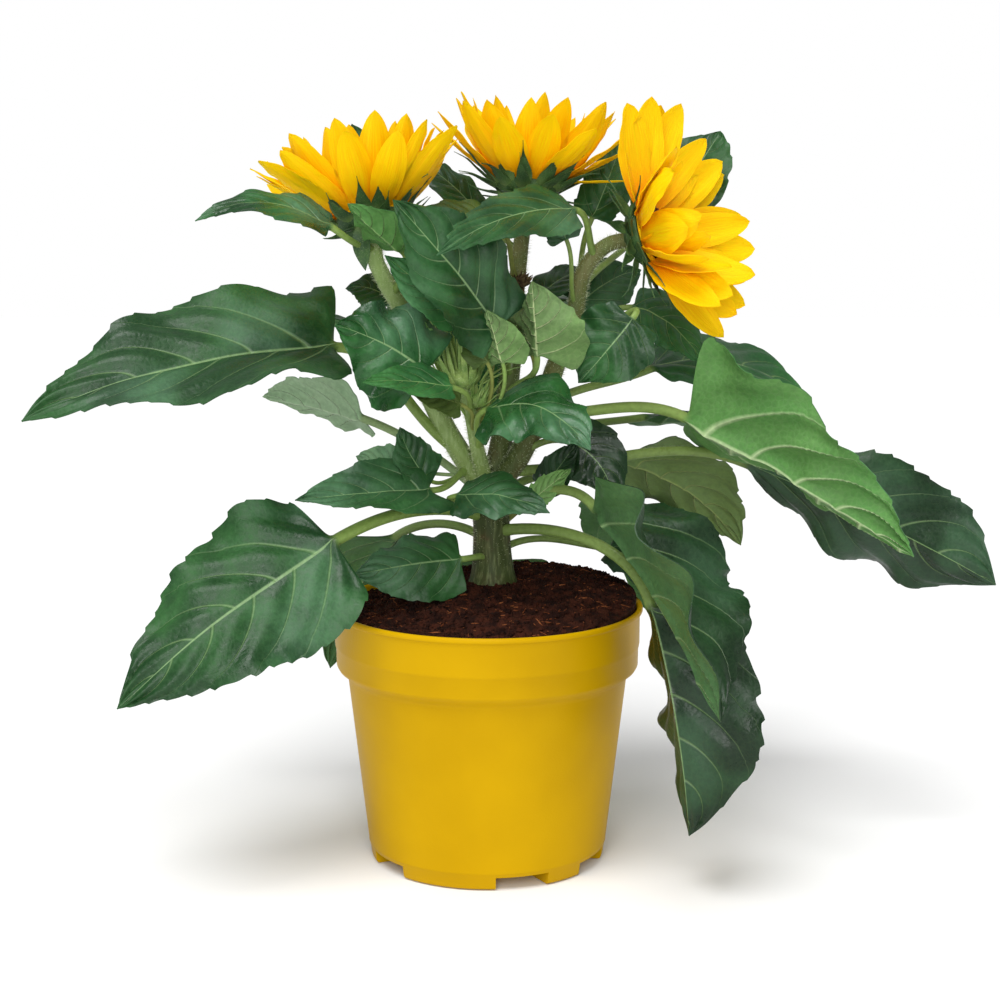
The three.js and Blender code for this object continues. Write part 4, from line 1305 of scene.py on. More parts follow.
LEAVES = [
    Leaf("left_long", "left", 229, (-80, -22, 286), (-236, -75, 253), 88, (0, 0, 10), (0.05, -0.6, 0.8),
         (27, 16), -14, 3.4, spring=0.6, heart=0.5, widest=0.34, roots=(0.45, 0.9), wavy=1.3),
    Leaf("left_pale", "main", 200, (-70, 40, 240), (-131, 78, 248), 50, (0, 0, 2), (0.1, 0.75, 0.6),
         (5, 22), -10, 2.8, kind=LeafKind.PALE),
    Leaf("left_low", "main", 190, (-79, -55, 188), (-187, -102, 110), 88, (0, -6, 6), (-0.2, -0.75, 0.65),
         (-16, 12), -8, 3.9, spring=0.4, heart=0.2, widest=0.26, wavy=1.25),
    Leaf("left_small", "left", 219, (-30, -34, 211), (-99, -66, 211), 44, (0, 0, 1), (0.3, -0.4, 0.85),
         (14, 30), -10, 2.1, spring=-0.2, heart=1, widest=0.1),
    # on_soil keeps the darker DARK finish as painted shade, for it lies under the leaves above it.
    Leaf("on_soil", "main", 167, (-14, -20, 171), (-72, -34, 165), 46, (0, 0, 1), (-0.1, -0.9, 0.45),
         (-4, -24), -8, 2.1, spring=0.5, wavy=1.3),
    Leaf("front_small", "main", 200, (-16, -46, 210), (32, -70, 205), 34, (0, -2, 5), (0, -0.65, 0.8),
         (0, 4), -14, 1.8, spring=0.2, wavy=1.3),
    Leaf("front_shiny", "shoot", 230, (0, -40, 255), (52, -80, 239), 54, (4, -2, 10), (0.1, -0.7, 1),
         (4, 2), -22, 2, kind=LeafKind.SHINY, wavy=1.6),
    Leaf("right_folded", "main", 199, (56, -64, 206), (114, -136, 113), 116, (0, -4, 5),
         (0.18, -0.71, 0.67), (-4, 84), -8, 3.2, spring=0.2, heart=0.1, widest=0.42, kind=LeafKind.DEEP,
         wavy=1.2),
    Leaf("right_hanging", "main", 182, (85, -66, 155), (105, -84, 37), 92, (2, -10, 2), (-0.2, -1, 0.2),
         (8, -74), -10, 3.6, spring=0.3, widest=0.52, roots=(0.7, 0.12), kind=LeafKind.DEEP, wavy=1.15),
    Leaf("right_olive", "main", 183, (76, 46, 216), (151, 88, 158), 74, (4, 4, 9), (0.1, 0.65, 0.8),
         (10, 4), -12, 2.9, spring=0.6, kind=LeafKind.OLIVE),
    Leaf("right_far", "right", 216, (143, 18, 218), (284, 12, 150), 84, (4, 0, 1), (-0.1, -0.85, 0.5),
         (4, -68), -10, 3.3, spring=0, heart=0, widest=0.6, shoulder=1.5, kind=LeafKind.DEEP, wavy=1.3),
    Leaf("right_ribbed", "right", 247, (106, -20, 248), (221, -64, 181), 98, (5, 0, 1), (0.1, 0.85, 0.5),
         (52, 4), -8, 3.5, spring=0.05, heart=0.42, widest=0.16, roots=(0.5, 0.97), kind=LeafKind.RIBBED,
         wavy=1.9),
    Leaf("right_behind", "right", 252, (92, 42, 268), (191, 88, 243), 66, (0, 0, 15), (-0.1, -0.5, 0.9),
         (4, 10), -16, 2.8, spring=0.4, widest=0.55, kind=LeafKind.MID, wavy=1.4),
    Leaf("right_round", "right", 271, (76, -34, 302), (48, -32, 268), 42, (2, -3, 2), (0.1, -0.9, 0.4),
         (4, 4), -14, 2.1, widest=0.45, wavy=1.6),
    Leaf("young_pale", "middle", 257, (26, -38, 283), (23, -44, 322), 52, (0, -4, 0), (0, 0.9, 0.3),
         (-4, 66), 4, 2, heart=0.9, kind=LeafKind.YOUNG, wavy=1.5),
    Leaf("top_level", "right", 333, (46, -24, 358), (-25, -84, 337), 36, (0, 0, 8), (0.1, -0.75, 0.75),
         (4, 4), -16, 2.2),
    Leaf("top_folded", "left", 313, (-44, -48, 338), (-70, -66, 362), 36, (0, -2, 0), (0.2, 0.6, 0.7),
         (10, 20), 0, 2.1, kind=LeafKind.MID),
    Leaf("top_broad", "middle", 268, (6, -44, 297), (-47, -74, 364), 56, (4, -4, -1), (0.2, -0.85, 0.5),
         (10, 10), -12, 2.4, heart=0.5, widest=0.45, wavy=1.6),
    Leaf("left_shiny", "left", 254, (-31, -56, 276), (-77, -70, 301), 60, (0, 0, 4), (-0.1, -0.8, 0.7),
         (-25, 6), -14, 2.1, widest=0.22, kind=LeafKind.SHINY, wavy=1.8),
    Leaf("left_light", "shoot", 245, (-18, -62, 269), (-62, -86, 274), 26, (0, 0, 2), (0, -0.6, 0.8),
         (8, 8), -8, 1.7, spring=0.4, kind=LeafKind.MID),
    Leaf("by_left_flower", "left", 338, (-79, -56, 350), (-146, -72, 353.5), 34, (0, 0, 11),
         (-0.1, -0.6, 0.8), (20, -8), -10, 2.2, spring=0.1, kind=LeafKind.SHINY),
    Leaf("behind_right_flower", "right", 315, (94, 50, 352), (131, 60, 400), 48, (6, 0, 6),
         (-0.4, -0.9, 0.4), (4, 4), -10, 2.2),
    Leaf("left_of_right_flower", "right", 304, (58, 38, 352), (74, 50, 394), 30, (2, 0, 2),
         (-0.3, -0.8, 0.3), (6, 6), -8, 1.8),
    Leaf("behind_left_flower", "left", 300, (-66, 46, 352), (-76, 60, 404), 44, (0, 6, 2), (0.1, -0.9, 0.3),
         (4, 4), -6, 2.1),
    Leaf("between_dark", "middle", 334, (-6, 34, 356), (-40, 48, 384), 28, (0, 0, 3), (0.3, -0.6, 0.7),
         (4, 4), -10, 1.8),
    Leaf("between_olive", "middle", 320, (4, -12, 350), (-34, -24, 358), 24, (0, 0, 3), (0.1, -0.5, 0.8),
         (8, 8), -8, 1.8, kind=LeafKind.OLIVE),
    Leaf("behind_gap", "middle", 275, (52, 46, 304), (88, 68, 322), 40, (0, 0, 4), (-0.2, -0.8, 0.6),
         (4, 4), -8, 1.9),
    Leaf("behind_striped", "middle", 289, (32, 38, 312), (62, 58, 322), 28, (0, 0, 4), (-0.1, -0.4, 0.9),
         (4, 4), -8, 1.8),
    Leaf("under_right_flower", "right", 283, (80, 22, 304), (120, 6, 272), 44, (0, 0, 8), (0.2, -0.7, 0.8),
         (4, 4), -14, 2, kind=LeafKind.MID),
    Leaf("dark_inner", "right", 226, (44, -13, 234), (68, -31, 202), 38, (4, 0, 5), (0.2, -0.9, 0.2),
         (4, 4), -8, 2.1, kind=LeafKind.DEEP),
    Leaf("low_right", "main", 169, (68, 26, 168), (108, 4, 124), 34, (4, 0, 10), (0.5, -0.6, 0.6), (4, 4),
         -8, 2.3, kind=LeafKind.DEEP),
    Leaf("behind_left_stem", "left", 275, (-52, 14, 308), (-78, 24, 314), 28, (0, 0, 4), (0, -0.7, 0.8),
         (4, 4), -8, 1.8),
    Leaf("back_hanging", "main", 174, (4, 104, 146), (8, 142, 44), 84, (0, 14, 6), (0, 1, 0.4), (4, 4), -12,
         3.3),
    Leaf("back_left_low", "main", 176, (-53, 64, 168), (-98, 130, 72), 74, (-4, 12, 8), (-0.3, 0.8, 0.6),
         (4, 4), -14, 3.1, spring=0.4),
    Leaf("back_right_low", "main", 198, (76, 92, 186), (122, 156, 74), 72, (6, 10, 10), (0.4, 0.7, 0.7),
         (4, 4), -14, 3.2, spring=0.5, heart=0.1),
    Leaf("back_left_long", "left", 243, (-70, 54, 291), (-176, 106, 268), 68, (0, 0, 14), (0, 0.2, 1),
         (6, 6), -18, 2.9),
    Leaf("back_right_long", "middle", 225, (92, 94, 234), (206, 132, 186), 70, (0, 4, 14), (0, 0.2, 1),
         (6, 6), -18, 2.9, spring=0.3),
    Leaf("back_upper_left", "middle", 251, (-12, 66, 296), (-56, 146, 268), 66, (0, 6, 12), (-0.1, 0.4, 1),
         (6, 6), -18, 2.6),
    Leaf("back_upper_right", "middle", 265, (38, 72, 304), (72, 154, 274), 66, (0, 6, 12), (0.1, 0.4, 1),
         (6, 6), -18, 2.6),
]
# Small lobes and tuft leaves in the middle of the crown, which no CAD node stands for
SPRIGS = [
    Leaf("lobe_pale", "shoot", 236, (8, -46, 280), (0, -56, 308), 30, (0, 0, 0), (0.2, 0.8, 0.3), (4, 30),
         4, 1.3, heart=0.6, kind=LeafKind.YOUNG, wavy=1.3),
    Leaf("lobe_curled", "shoot", 238, (0, -44, 280), (-18, -58, 300), 20, (0, 0, 4), (-0.1, -0.7, 0.5),
         (8, -20), -20, 1.2, kind=LeafKind.OLIVE, wavy=1.4),
    Leaf("lobe_dark", "left", 292, (-12, -42, 308), (-52, -61, 336), 34, (2, -2, -3), (-0.1, -0.8, 0.6),
         (6, 6), -12, 1.3, kind=LeafKind.MID, wavy=1.3),
    Leaf("lobe_brown", "shoot", 240, (-14, -44, 258), (-41, -54, 266), 22, (0, 0, 1), (0.1, -0.6, 0.7),
         (4, 4), -10, 1.3, kind=LeafKind.OLIVE),
    Leaf("lobe_upright", "left", 216, (-33, -30, 218), (-46, -36, 245), 24, (-2, 0, 0), (0.5, -0.8, 0.2),
         (6, 12), -6, 1.3, heart=0.6, spring=0.1),
    Leaf("lobe_grey", "left", 214, (-49, -18, 221), (-71, -12, 226), 22, (0, 0, 0), (0.2, -0.8, 0.3),
         (4, 4), -6, 1.2, spring=0.1, kind=LeafKind.PALE),
    Leaf("lobe_by_right_flower", "right", 306, (42, -12, 342), (33, -14, 362), 20, (0, 0, 0),
         (-0.2, -0.8, 0.3), (4, 10), -8, 1.4),
    Leaf("tuft_a", "shoot", 246, (-26, -34, 280), (-34, -42, 304), 12, (-2, -2, 0), (0.2, -0.8, 0.3),
         (8, 8), -6, 0.9, kind=LeafKind.YOUNG),
    Leaf("tuft_b", "shoot", 248, (-4, -38, 282), (2, -50, 306), 12, (2, -2, 0), (-0.2, -0.8, 0.3), (8, 8),
         -6, 0.9, kind=LeafKind.YOUNG),
    Leaf("tuft_c", "shoot", 246, (-24, -8, 284), (-34, -2, 310), 14, (0, 2, 0), (0.3, -0.7, 0.4), (8, 8),
         -6, 0.9, kind=LeafKind.MID),
    Leaf("tuft_d", "shoot", 248, (6, -12, 288), (16, -8, 318), 15, (0, 2, 0), (-0.3, -0.7, 0.4), (8, 8), -6,
         0.9, kind=LeafKind.OLIVE),
    Leaf("behind_bud", "left", 246, (-30, -2, 288), (-8, 2, 318), 30, (0, 0, 2), (0.1, -0.8, 0.5), (6, 6),
         -10, 1.3, kind=LeafKind.MID),
    Leaf("behind_bud_low", "middle", 236, (10, 13, 249), (-31, 12, 287), 38, (0, 0, 2), (0.1, -0.8, 0.5),
         (6, 6), -8, 1.3, kind=LeafKind.MID, wavy=1.2),
    Leaf("between_stems", "right", 244, (24, -2, 280), (2, 6, 314), 28, (0, 0, 2), (0.0, -0.8, 0.5), (6, 6),
         -10, 1.3, kind=LeafKind.OLIVE),
    Leaf("low_shoot", "main", 196, (24, -34, 206), (44, -44, 224), 14, (0, 0, 0), (-0.2, -0.8, 0.3), (6, 6),
         -6, 1.0, kind=LeafKind.YOUNG),
    Leaf("low_shoot_dark", "main", 200, (30, -22, 210), (48, -28, 236), 20, (0, 0, 0), (-0.2, -0.8, 0.3),
         (6, 6), -6, 1.2, kind=LeafKind.DEEP),
]


# Flower heads and buds: about +Z, with the disc's plane at zero height


PETAL_GRID = (24, 11)
BRACT_GRID = (14, 7)
BRACT_SKIN = 0.6
FLORETS = 190
DISC_REACH = 14.2


def varied(seed: float, i: Array, mean: Array, most: float) -> Array:
    """Give a mean value with a deviation of its own for each number i."""
    return mean + most * hash_noise(seed, i)


@dataclass(frozen=True)
class Blades:
    """Many pointed blades round Z, with one value for each blade in every array.

    Attributes:
        angle: headings, in radians.
        start: (n, 2) radius and height of the roots.
        length: lengths.
        width: greatest widths.
        rise: pitches at mid length, in degrees.
        bend: how much each pitch grows from root to tip, in degrees.
        roll: how far each is turned about its own middle, in degrees.
        curl: degrees by which the last part turns further.
        widest: the part of the length with the greatest width.
        fullness: power of the widening behind that place: a low one gives a broad root and tip.
        cup: how far the sides rise, as a share of the half width.
        thickness: of the skin.
    """

    angle: Array
    start: Array
    length: Array
    width: Array
    rise: Array
    bend: Array
    roll: Array
    curl: Array
    widest: float = 0.45
    fullness: float = 0.8
    cup: float = 0.24
    thickness: float = 0.55

    def half_width(self, s: Array) -> Array:
        """Give half the width: a power of the way from the root times a power of the way to the tip.

        Args:
            s: parts of the length.

        Returns:
            The half width of each blade at each part.
        """
        tip_power = self.fullness * (1 - self.widest) / (self.widest + 0.06)
        shape = ((s + 0.06) / (self.widest + 0.06)) ** self.fullness * ((1 - s) / (1 - self.widest)) ** tip_power
        return np.maximum(self.width[:, None] / 2 * shape[None], 0.1)

    def path(self, s: Array, seed: float) -> tuple[Array, Array, Array]:
        """Follow the middle of each blade.

        It starts in its own upright plane, turns evenly from one pitch to another, and sways a little.

        Args:
            s: parts of the length.
            seed: makes the sway uneven.

        Returns:
            Places, directions to the tip, and directions to the right, for each blade and part.
        """
        number = np.arange(len(self.angle))[:, None]
        flat = np.zeros(len(self.angle))
        out = np.stack([np.cos(self.angle), np.sin(self.angle), flat], axis=-1)
        level = np.stack([np.sin(self.angle), -np.cos(self.angle), flat], axis=-1)
        pitch = self.rise[:, None] + self.bend[:, None] * (s - 0.5) + self.curl[:, None] * ease((s - 0.5) / 0.5)
        pitch = np.radians(pitch + 5 * waves(seed, number * 2.0, s[None] * 1.5))
        along = spread(out, np.cos(pitch)) + UP * np.sin(pitch)[..., None]
        step = self.length[:, None, None] / (len(s) - 1)
        path = np.cumsum((along[:, 1:] + along[:, :-1]) / 2 * step, axis=1)
        path = np.concatenate([np.zeros((len(number), 1, 3)), path], axis=1)
        path = path + (out * self.start[:, :1])[:, None] + UP * self.start[:, 1][:, None, None]
        sway = 1.6 * waves(seed + 3, number * 3.0, s[None] * 1.2) * s[None]
        path = path + spread(level, sway * self.length[:, None] / 50)
        tilt = np.radians(self.roll)[:, None, None]
        right = level[:, None] * np.cos(tilt) + np.cross(level[:, None], along) * np.sin(tilt)
        return path, along, right

    def form(self, rows: int, columns: int, seed: float) -> Form:
        """Make the blades, with three soft folds along each and a rippled margin.

        Args:
            rows: stations along each blade.
            columns: points across it.
            seed: makes the folds uneven.

        Returns:
            Closed skins in one form.
        """
        s, x = np.linspace(0, 1, rows), np.linspace(-1, 1, columns)
        v = np.sin(x * np.pi / 2) * 0.35 + x * 0.65
        path, along, right = self.path(s, seed)
        normal = np.cross(right, along)
        half = self.half_width(s)[..., None]
        wide = self.width[:, None, None]
        number = np.arange(len(self.angle))[:, None, None]
        arch = self.cup * half * np.abs(v) ** 1.6
        folds = 0.022 * wide * np.cos(np.pi * 3 * v) * np.sin(np.pi * s)[:, None]
        ripple = 0.045 * wide * v**2 * waves(seed + 7, number * 2.7, s[None, :, None] * 7, np.sign(v) * 2)
        middle = path[:, :, None] + spread(right, half * v) + spread(normal, arch + folds + ripple)
        facing = unit(normal[:, :, None] - spread(right, 1.2 * self.cup * v))
        return shell(middle, facing, self.thickness * (1 - 0.6 * s)[:, None], v, s)


@dataclass(frozen=True)
class BractRing:
    """A ring of bracts, with the measures that Blades names.

    Where a field has two numbers, they are the mean and the greatest deviation. The heading is in
    steps between two bracts, and outline holds widest, fullness and cup.
    """

    count: int
    start: tuple[float, float]
    heading: tuple[float, float]
    length: tuple[float, float]
    width: float
    rise: tuple[float, float]
    bend: tuple[float, float]
    roll: float
    curl: tuple[float, float]
    outline: tuple[float, float, float]

    def form(self, seed: int) -> Form:
        """Make the ring.

        Args:
            seed: makes its bracts unlike another ring's.

        Returns:
            Closed skins in one form.
        """
        i = np.arange(self.count)
        return Blades(
            2 * np.pi * (i + varied(seed, i, *self.heading)) / self.count,
            np.full((self.count, 2), self.start),
            varied(seed + 1, i, *self.length),
            np.full(self.count, float(self.width)),
            varied(seed + 2, i, *self.rise),
            varied(seed + 5, i, *self.bend),
            varied(seed + 3, i, 0, self.roll),
            varied(seed + 4, i, *self.curl),
            *self.outline,
            thickness=BRACT_SKIN,
        ).form(*BRACT_GRID, seed)


@dataclass(frozen=True)
class Whorl:
    """One ring of petals: how many, and their pitch, length and width."""

    count: int
    rise: float
    length: float
    width: float


@dataclass(frozen=True)
class Stray:
    """A petal or bract that stands apart: heading and pitch in degrees, length and width."""

    heading: float
    rise: float
    length: float
    width: float

    def blade(self, radius: float, height: float, bend: float, fullness: float) -> Blades:
        """Give it as the only blade of its kind.

        Args:
            radius: of its root.
            height: of its root.
            bend: growth of its pitch, in degrees.
            fullness: power of its widening.

        Returns:
            The one blade.
        """
        one = np.ones(1)
        return Blades(
            np.radians(self.heading) * one, np.array([[radius, height]]), self.length * one,
            self.width * one, self.rise * one, bend * one, 0 * one, 0 * one, fullness=fullness,
        )


@dataclass(frozen=True)
class Head:
    """One flower head: its place, the way it faces, and how its petals and bracts stand.

    Petals that face the viewer, away from them or up stand steeper by the three values of lift. Those
    that face the viewer are also shorter by short, and curl in by hug. Those that face up or down are
    turned about their own middle by twist. Strays are petals, and loose ones bracts, that stand apart.
    """

    side: str
    place: tuple
    axis: tuple
    whorls: tuple[Whorl, ...]
    fullness: float
    turn: float
    seed: int
    lift: tuple[float, float, float] = (0.0, 0.0, 0.0)
    short: float = 0.0
    hug: float = 0.0
    twist: float = 0.0
    bract: float = 1.0
    strays: tuple[Stray, ...] = ()
    loose: tuple[Stray, ...] = ()

    def petal_ring(self, ring: int, whorl: Whorl) -> Form:
        """Make one ring of petals.

        Args:
            ring: its number, 0 for the outer one.
            whorl: its measures.

        Returns:
            The petals in one form.
        """
        i = np.arange(whorl.count)
        seed = self.seed + 20 * ring
        angle = 2 * np.pi * (i + 0.32 * hash_noise(seed, i) + 0.37 * ring) / whorl.count + radians(self.turn)
        facing = turned_to(np.stack([np.cos(angle), np.sin(angle), 0 * angle], -1), self.axis, (0, 0, 0))
        near, far = np.maximum(0, -facing[:, 1]), np.maximum(0, facing[:, 1])
        lift = self.lift[0] * near + self.lift[1] * far + self.lift[2] * facing[:, 2]
        return Blades(
            angle,
            np.full((whorl.count, 2), [16.9 - 0.5 * ring, 0.6 + 0.5 * ring]),
            whorl.length * varied(seed + 2, i, 1, 0.08) * (1 - self.short * near**2),
            whorl.width * varied(seed + 3, i, 1, 0.12),
            varied(seed + 1, i, whorl.rise, 6) + lift,
            varied(seed + 4, i, 14, 8),
            varied(seed + 5, i, self.twist * facing[:, 2], 18),
            varied(seed + 6, i, self.hug * near**2, 12),
            fullness=self.fullness,
            cup=0.28,
        ).form(*PETAL_GRID, seed)

    def petals(self) -> Form:
        """Make the petals on a low ring, the inner ones steeper.

        Returns:
            The ring and its petals in one form.
        """
        forms = [revolved(np.array([15.4, 17.6, 17.6, 15.4, 15.4]), np.array([0.4, 0.4, 2.0, 2.0, 0.4]), 48)]
        forms += [self.petal_ring(ring, whorl) for ring, whorl in enumerate(self.whorls)]
        for k, stray in enumerate(self.strays):
            forms.append(stray.blade(16.6, 1.0, 10.0, self.fullness).form(*PETAL_GRID, self.seed + k))
        return Form.joined(forms)

    def cup(self) -> Form:
        """Make the green cup with three rings of pointed bracts, the outer ones lower.

        Returns:
            The cup and its bracts in one form.
        """
        radius = np.array([0.01, 4.2, 5.2, 7.5, 11.5, 15.5, 18.0, 18.8, 18.4, 0.01])
        height = np.array([-13.4, -13.2, -12.4, -11.0, -9.6, -7.2, -4.2, -1.6, 0.0, 0.0])
        forms = [revolved(radius, height, 64)]
        rings = ((11, 31, 8.4, 18.2, -2.8, 10), (10, 27, 8.0, 16.6, -5.0, -10), (9, 22, 7.0, 13.0, -8.0, -34))
        for ring, (count, reach, wide, start, low, lean) in enumerate(rings):
            length = self.bract * reach
            forms.append(BractRing(
                count, (start, low), (0.4 * ring, 0.25), (length, 0.2 * length), wide,
                (self.whorls[0].rise + lean, 8), (10, 16), 12, (-6, 34), (0.18, 0.7, 0.25),
            ).form(self.seed + 10 * ring))
        for k, stray in enumerate(self.loose):
            forms.append(stray.blade(14.5, -5.0, -10.0, 1.0).form(*BRACT_GRID, self.seed + k))
        return Form.joined(forms)

    def disc(self) -> Form:
        """Make the domed disc and its florets along a sunflower's spiral.

        The distance of a floret from the middle grows with the square root of its number, and each
        stands a golden angle further round than the one before.

        Returns:
            The disc and its florets in one form.
        """
        radius = np.array([0.01, 14.6, 14.8, 13.2, 8.5, 4.0, 0.01])
        dome = revolved(radius, np.array([0.4, 0.4, 2.6, 4.6, 5.8, 5.4, 5.2]), 40)
        turn = circle(6)
        k = np.arange(FLORETS) + 0.5
        far = DISC_REACH * np.sqrt(k / FLORETS)
        angle = k * np.pi * (3 - np.sqrt(5))
        x, y, one = far * np.cos(angle), far * np.sin(angle), np.ones(FLORETS)
        base = np.interp(far, [0, 4, 8.5, 13.2, 14.8], [5.0, 5.2, 5.6, 4.2, 2.4])
        profile = [(0.55, 0.0), (0.5, 1.4), (0.72, 2.2), (0.35, 2.7)]
        rings = [np.stack([r * np.cos(turn), r * np.sin(turn), np.full(6, z)], -1) for r, z in profile]
        grown = np.stack([one, one, varied(self.seed, k, 0.8, 0.3)], -1)[:, None, None]
        stood = np.stack(rings) * grown
        lean = 0.035 * far / DISC_REACH
        axis, place = np.stack([x * lean, y * lean, one], -1), np.stack([x, y, base - 0.4], -1)
        tipped = turned_to(stood.reshape(FLORETS, -1, 3), axis, place).reshape(stood.shape)
        return Form.joined([dome, loft(tipped, turn / 7, np.linspace(0, 1, len(profile)))])

    def build(self) -> None:
        """Stand the head's three pieces in the scene."""
        for part, slot, skin, form in (
            ("petals", Slot.PETAL, Skin.PETAL, self.petals()),
            ("cup", Slot.BRACT, Skin.BRACT, self.cup()),
            ("disc", Slot.DISC, Skin.DISC, self.disc()),
        ):
            node = f"{self.side}_flower_{part}"
            form.moved(self.axis, self.place).stand(f"{node}_look", slot, skin, (node,))


HEADS = [
    Head(
        "left", (-62, -22, 354.5), (-0.18, 0.26, 1),
        (Whorl(14, 36, 50, 19.5), Whorl(13, 52, 49, 19.5), Whorl(9, 68, 43, 16)), 0.66, 4, 3, bract=0.72,
        strays=(Stray(186, 34, 48, 7), Stray(300, 36, 30, 9)), loose=(Stray(252, -86, 27, 10),),
    ),
    Head(
        "middle", (22, 18, 372), (0.1, 0.12, 1),
        (Whorl(12, 37, 51, 17), Whorl(12, 53, 49, 17), Whorl(8, 69, 43, 14)), 0.76, 11, 8,
        strays=(Stray(-12, 8, 40, 6),),
    ),
    Head(
        "right", (86, -12, 345.5), (0.86, -0.38, 0.26),
        (Whorl(11, 18, 56, 21), Whorl(10, 31, 54, 21), Whorl(6, 45, 47, 19)), 0.6, 14, 5,
        lift=(34, 10, -8), short=0.3, hug=34, twist=46, strays=(Stray(200, 14, 42, 9),),
    ),
]


@dataclass(frozen=True)
class Bud:
    """A closed bud: a knob wrapped in narrow pointed bracts.

    Each ring has about as many bracts as the field says, of the length reach, and broad is their
    width as a share of the knob's radius.
    """

    name: str
    place: tuple
    axis: tuple
    radius: float
    height: float
    bracts: int
    reach: float
    seed: int
    broad: float = 0.4

    def form(self) -> Form:
        """Make the knob and its bracts in four rings, the outer ones more spread.

        Returns:
            The bud in its place.
        """
        r, h, many, few = self.radius, self.height, self.bracts, self.bracts - 2
        radius = np.array([0.01, 0.42, 0.8, 0.95, 1.0, 0.85, 0.6, 0.3, 0.01]) * r
        height = np.array([0.0, 0.0, 0.18, 0.35, 0.55, 0.78, 0.92, 0.99, 1.0]) * h
        forms = [revolved(radius * 0.86, height * 0.94, 40)]
        rings = ((few, 0.45, 0.5, 84, 1.05), (many, 0.75, 0.35, 76, 1.15), (many, 0.95, 0.2, 62, 1.1))
        for ring, (count, start, low, rise, part) in enumerate((*rings, (few, 0.8, 0.05, 32, 0.85))):
            length = self.reach * part
            forms.append(BractRing(
                count, (r * start, h * low), (0.45 * ring, 0.3), (length, 0.16 * length), self.broad * r,
                (rise, 12), (8, 8), 20, (0, 24), (0.22, 0.45, 0.3),
            ).form(self.seed + 10 * ring))
        return Form.joined(forms).moved(self.axis, self.place)


BUDS = [
    Bud("centre_bud", (-12, -22, 265), (-0.1, -0.15, 1), 11, 12, 10, 29, 21, 0.33),
    Bud("side_bud", (-5, -28, 256), (0.3, -0.6, 0.7), 5, 8, 7, 13, 31),
]
DRIED = [
    Bud("dried_right", (17, 10, 317), (0.7, -0.5, 0.8), 3.4, 6.5, 5, 5.5, 41, 0.9),
    Bud("dried_left", (14, 9, 316), (-0.8, -0.4, 0.7), 3.2, 6.0, 5, 5.5, 43, 0.9),
    Bud("dried_low", (13, 8, 307), (-0.4, -0.9, 0.5), 2.6, 5.0, 5, 5.0, 47, 0.9),
]


# Pot and soil


POT_COLUMNS = 264
SOIL_GRID = (120, 300)
SOIL_UNDERSIDE = 120.0


@dataclass(frozen=True)
class Pot:
    """A thin tapered nursery pot with a rolled lip, an upright band, and channels under its floor.

    The tapered wall has two radii at two heights. Channels have a width and headings in degrees.
    """

    rim: float = 85.8
    top: float = 142.4
    band: float = 84.2
    band_bottom: float = 83.2
    body: tuple[float, float] = (65.0, 77.4)
    body_heights: tuple[float, float] = (1.6, 103.4)
    channel_height: float = 7.0
    channel_inner: float = 44.0
    channel_width: float = 26.0
    channels: tuple = (17, 63, 137, 183, 257, 303)

    def outside(self) -> Array:
        """Give the outside's profile, from the foot up and over the lip.

        Returns:
            A row of radii and a row of heights.
        """
        (foot, high), (low, shoulder) = self.body, self.body_heights
        band, lip, top = self.band, self.rim, self.top
        return np.array([
            (foot - 1.6, 0.0), (foot - 0.5, 0.4), (foot, low), (66.1, 8.4), (66.5, 9.0), (66.5, 10.0),
            (high - 0.3, 101.5), (high, shoulder), (78.6, 105.0), (82.4, 107.9), (self.band_bottom, 109.3),
            (83.45, 110.0), (83.55, 119.6), (83.9, 120.1), (band, 122.0), (band, 138.2), (84.6, 139.0),
            (lip - 0.25, 139.5), (lip, 140.1), (lip, 141.5), (lip - 0.25, 142.1), (lip - 0.8, top),
            (84.4, top), (83.2, 142.1), (82.6, 141.2),
        ]).T

    def angles(self) -> tuple[Array, Array]:
        """Give the columns' headings, with two at each side of a channel.

        Returns:
            The headings in degrees, and the height of the channel at each, 0 beside the channels.
        """
        half = self.channel_width / 2
        edges = np.array([a + s * half for a in self.channels for s in (-1, 1)])
        even = np.arange(POT_COLUMNS) * 360 / POT_COLUMNS
        angle = np.sort(np.concatenate([even, edges, edges]) % 360)
        sharp = np.diff(angle, append=angle[0] + 360) < 1e-9
        middle = angle + np.where(sharp, -1e-3, 0) + np.where(np.roll(sharp, 1), 1e-3, 0)
        off = np.abs((middle[:, None] - np.array(self.channels)[None] + 180) % 360 - 180).min(axis=1)
        return angle, np.where(off < half, self.channel_height, 0.0)

    def form(self) -> Form:
        """Make the pot as one turned wall whose foot is raised in the channels.

        The profile runs from the middle of the underside out to the foot, up the outside, over the
        lip and down the inside to the middle of the floor. In a channel's angles each point of the
        outside stands at least as high as the channel.

        Returns:
            The closed pot, whose sides of channels have points at one place.
        """
        angle, raised = self.angles()
        outer_r, outer_z = self.outside()[..., None]
        inner_r = np.array([82.4, 82.3, 81.4, 75.6, 63.4, 62.0, 50.0, 0.01])
        inner_z = np.array([139.0, 122.0, 111.3, 105.8, 10.2, 8.8, 8.8, 8.8])
        level = 0 * raised
        slope = np.diff(self.body) / np.diff(self.body_heights)
        wall_r = self.body[0] + slope * (raised - self.body_heights[0])
        flat_r = np.array([0.01, self.channel_inner, self.channel_inner])[:, None] + level
        r = np.vstack([flat_r, np.where(outer_z < raised, wall_r, outer_r), inner_r[:, None] + level])
        z = np.vstack([level, level, raised, np.maximum(outer_z, raised), inner_z[:, None] + level])
        turn, u = np.radians(angle - 90), angle / 360
        rings = np.stack([r * np.cos(turn), r * np.sin(turn), z], axis=-1)
        return loft(rings, u, np.linspace(0, 1, len(rings)), np.append(u[1:], u[0] + 1))

    def build(self) -> None:
        """Stand the pot in the scene."""
        self.form().stand("pot_look", Slot.POT, Skin.POT, ("pot",), welded=True)


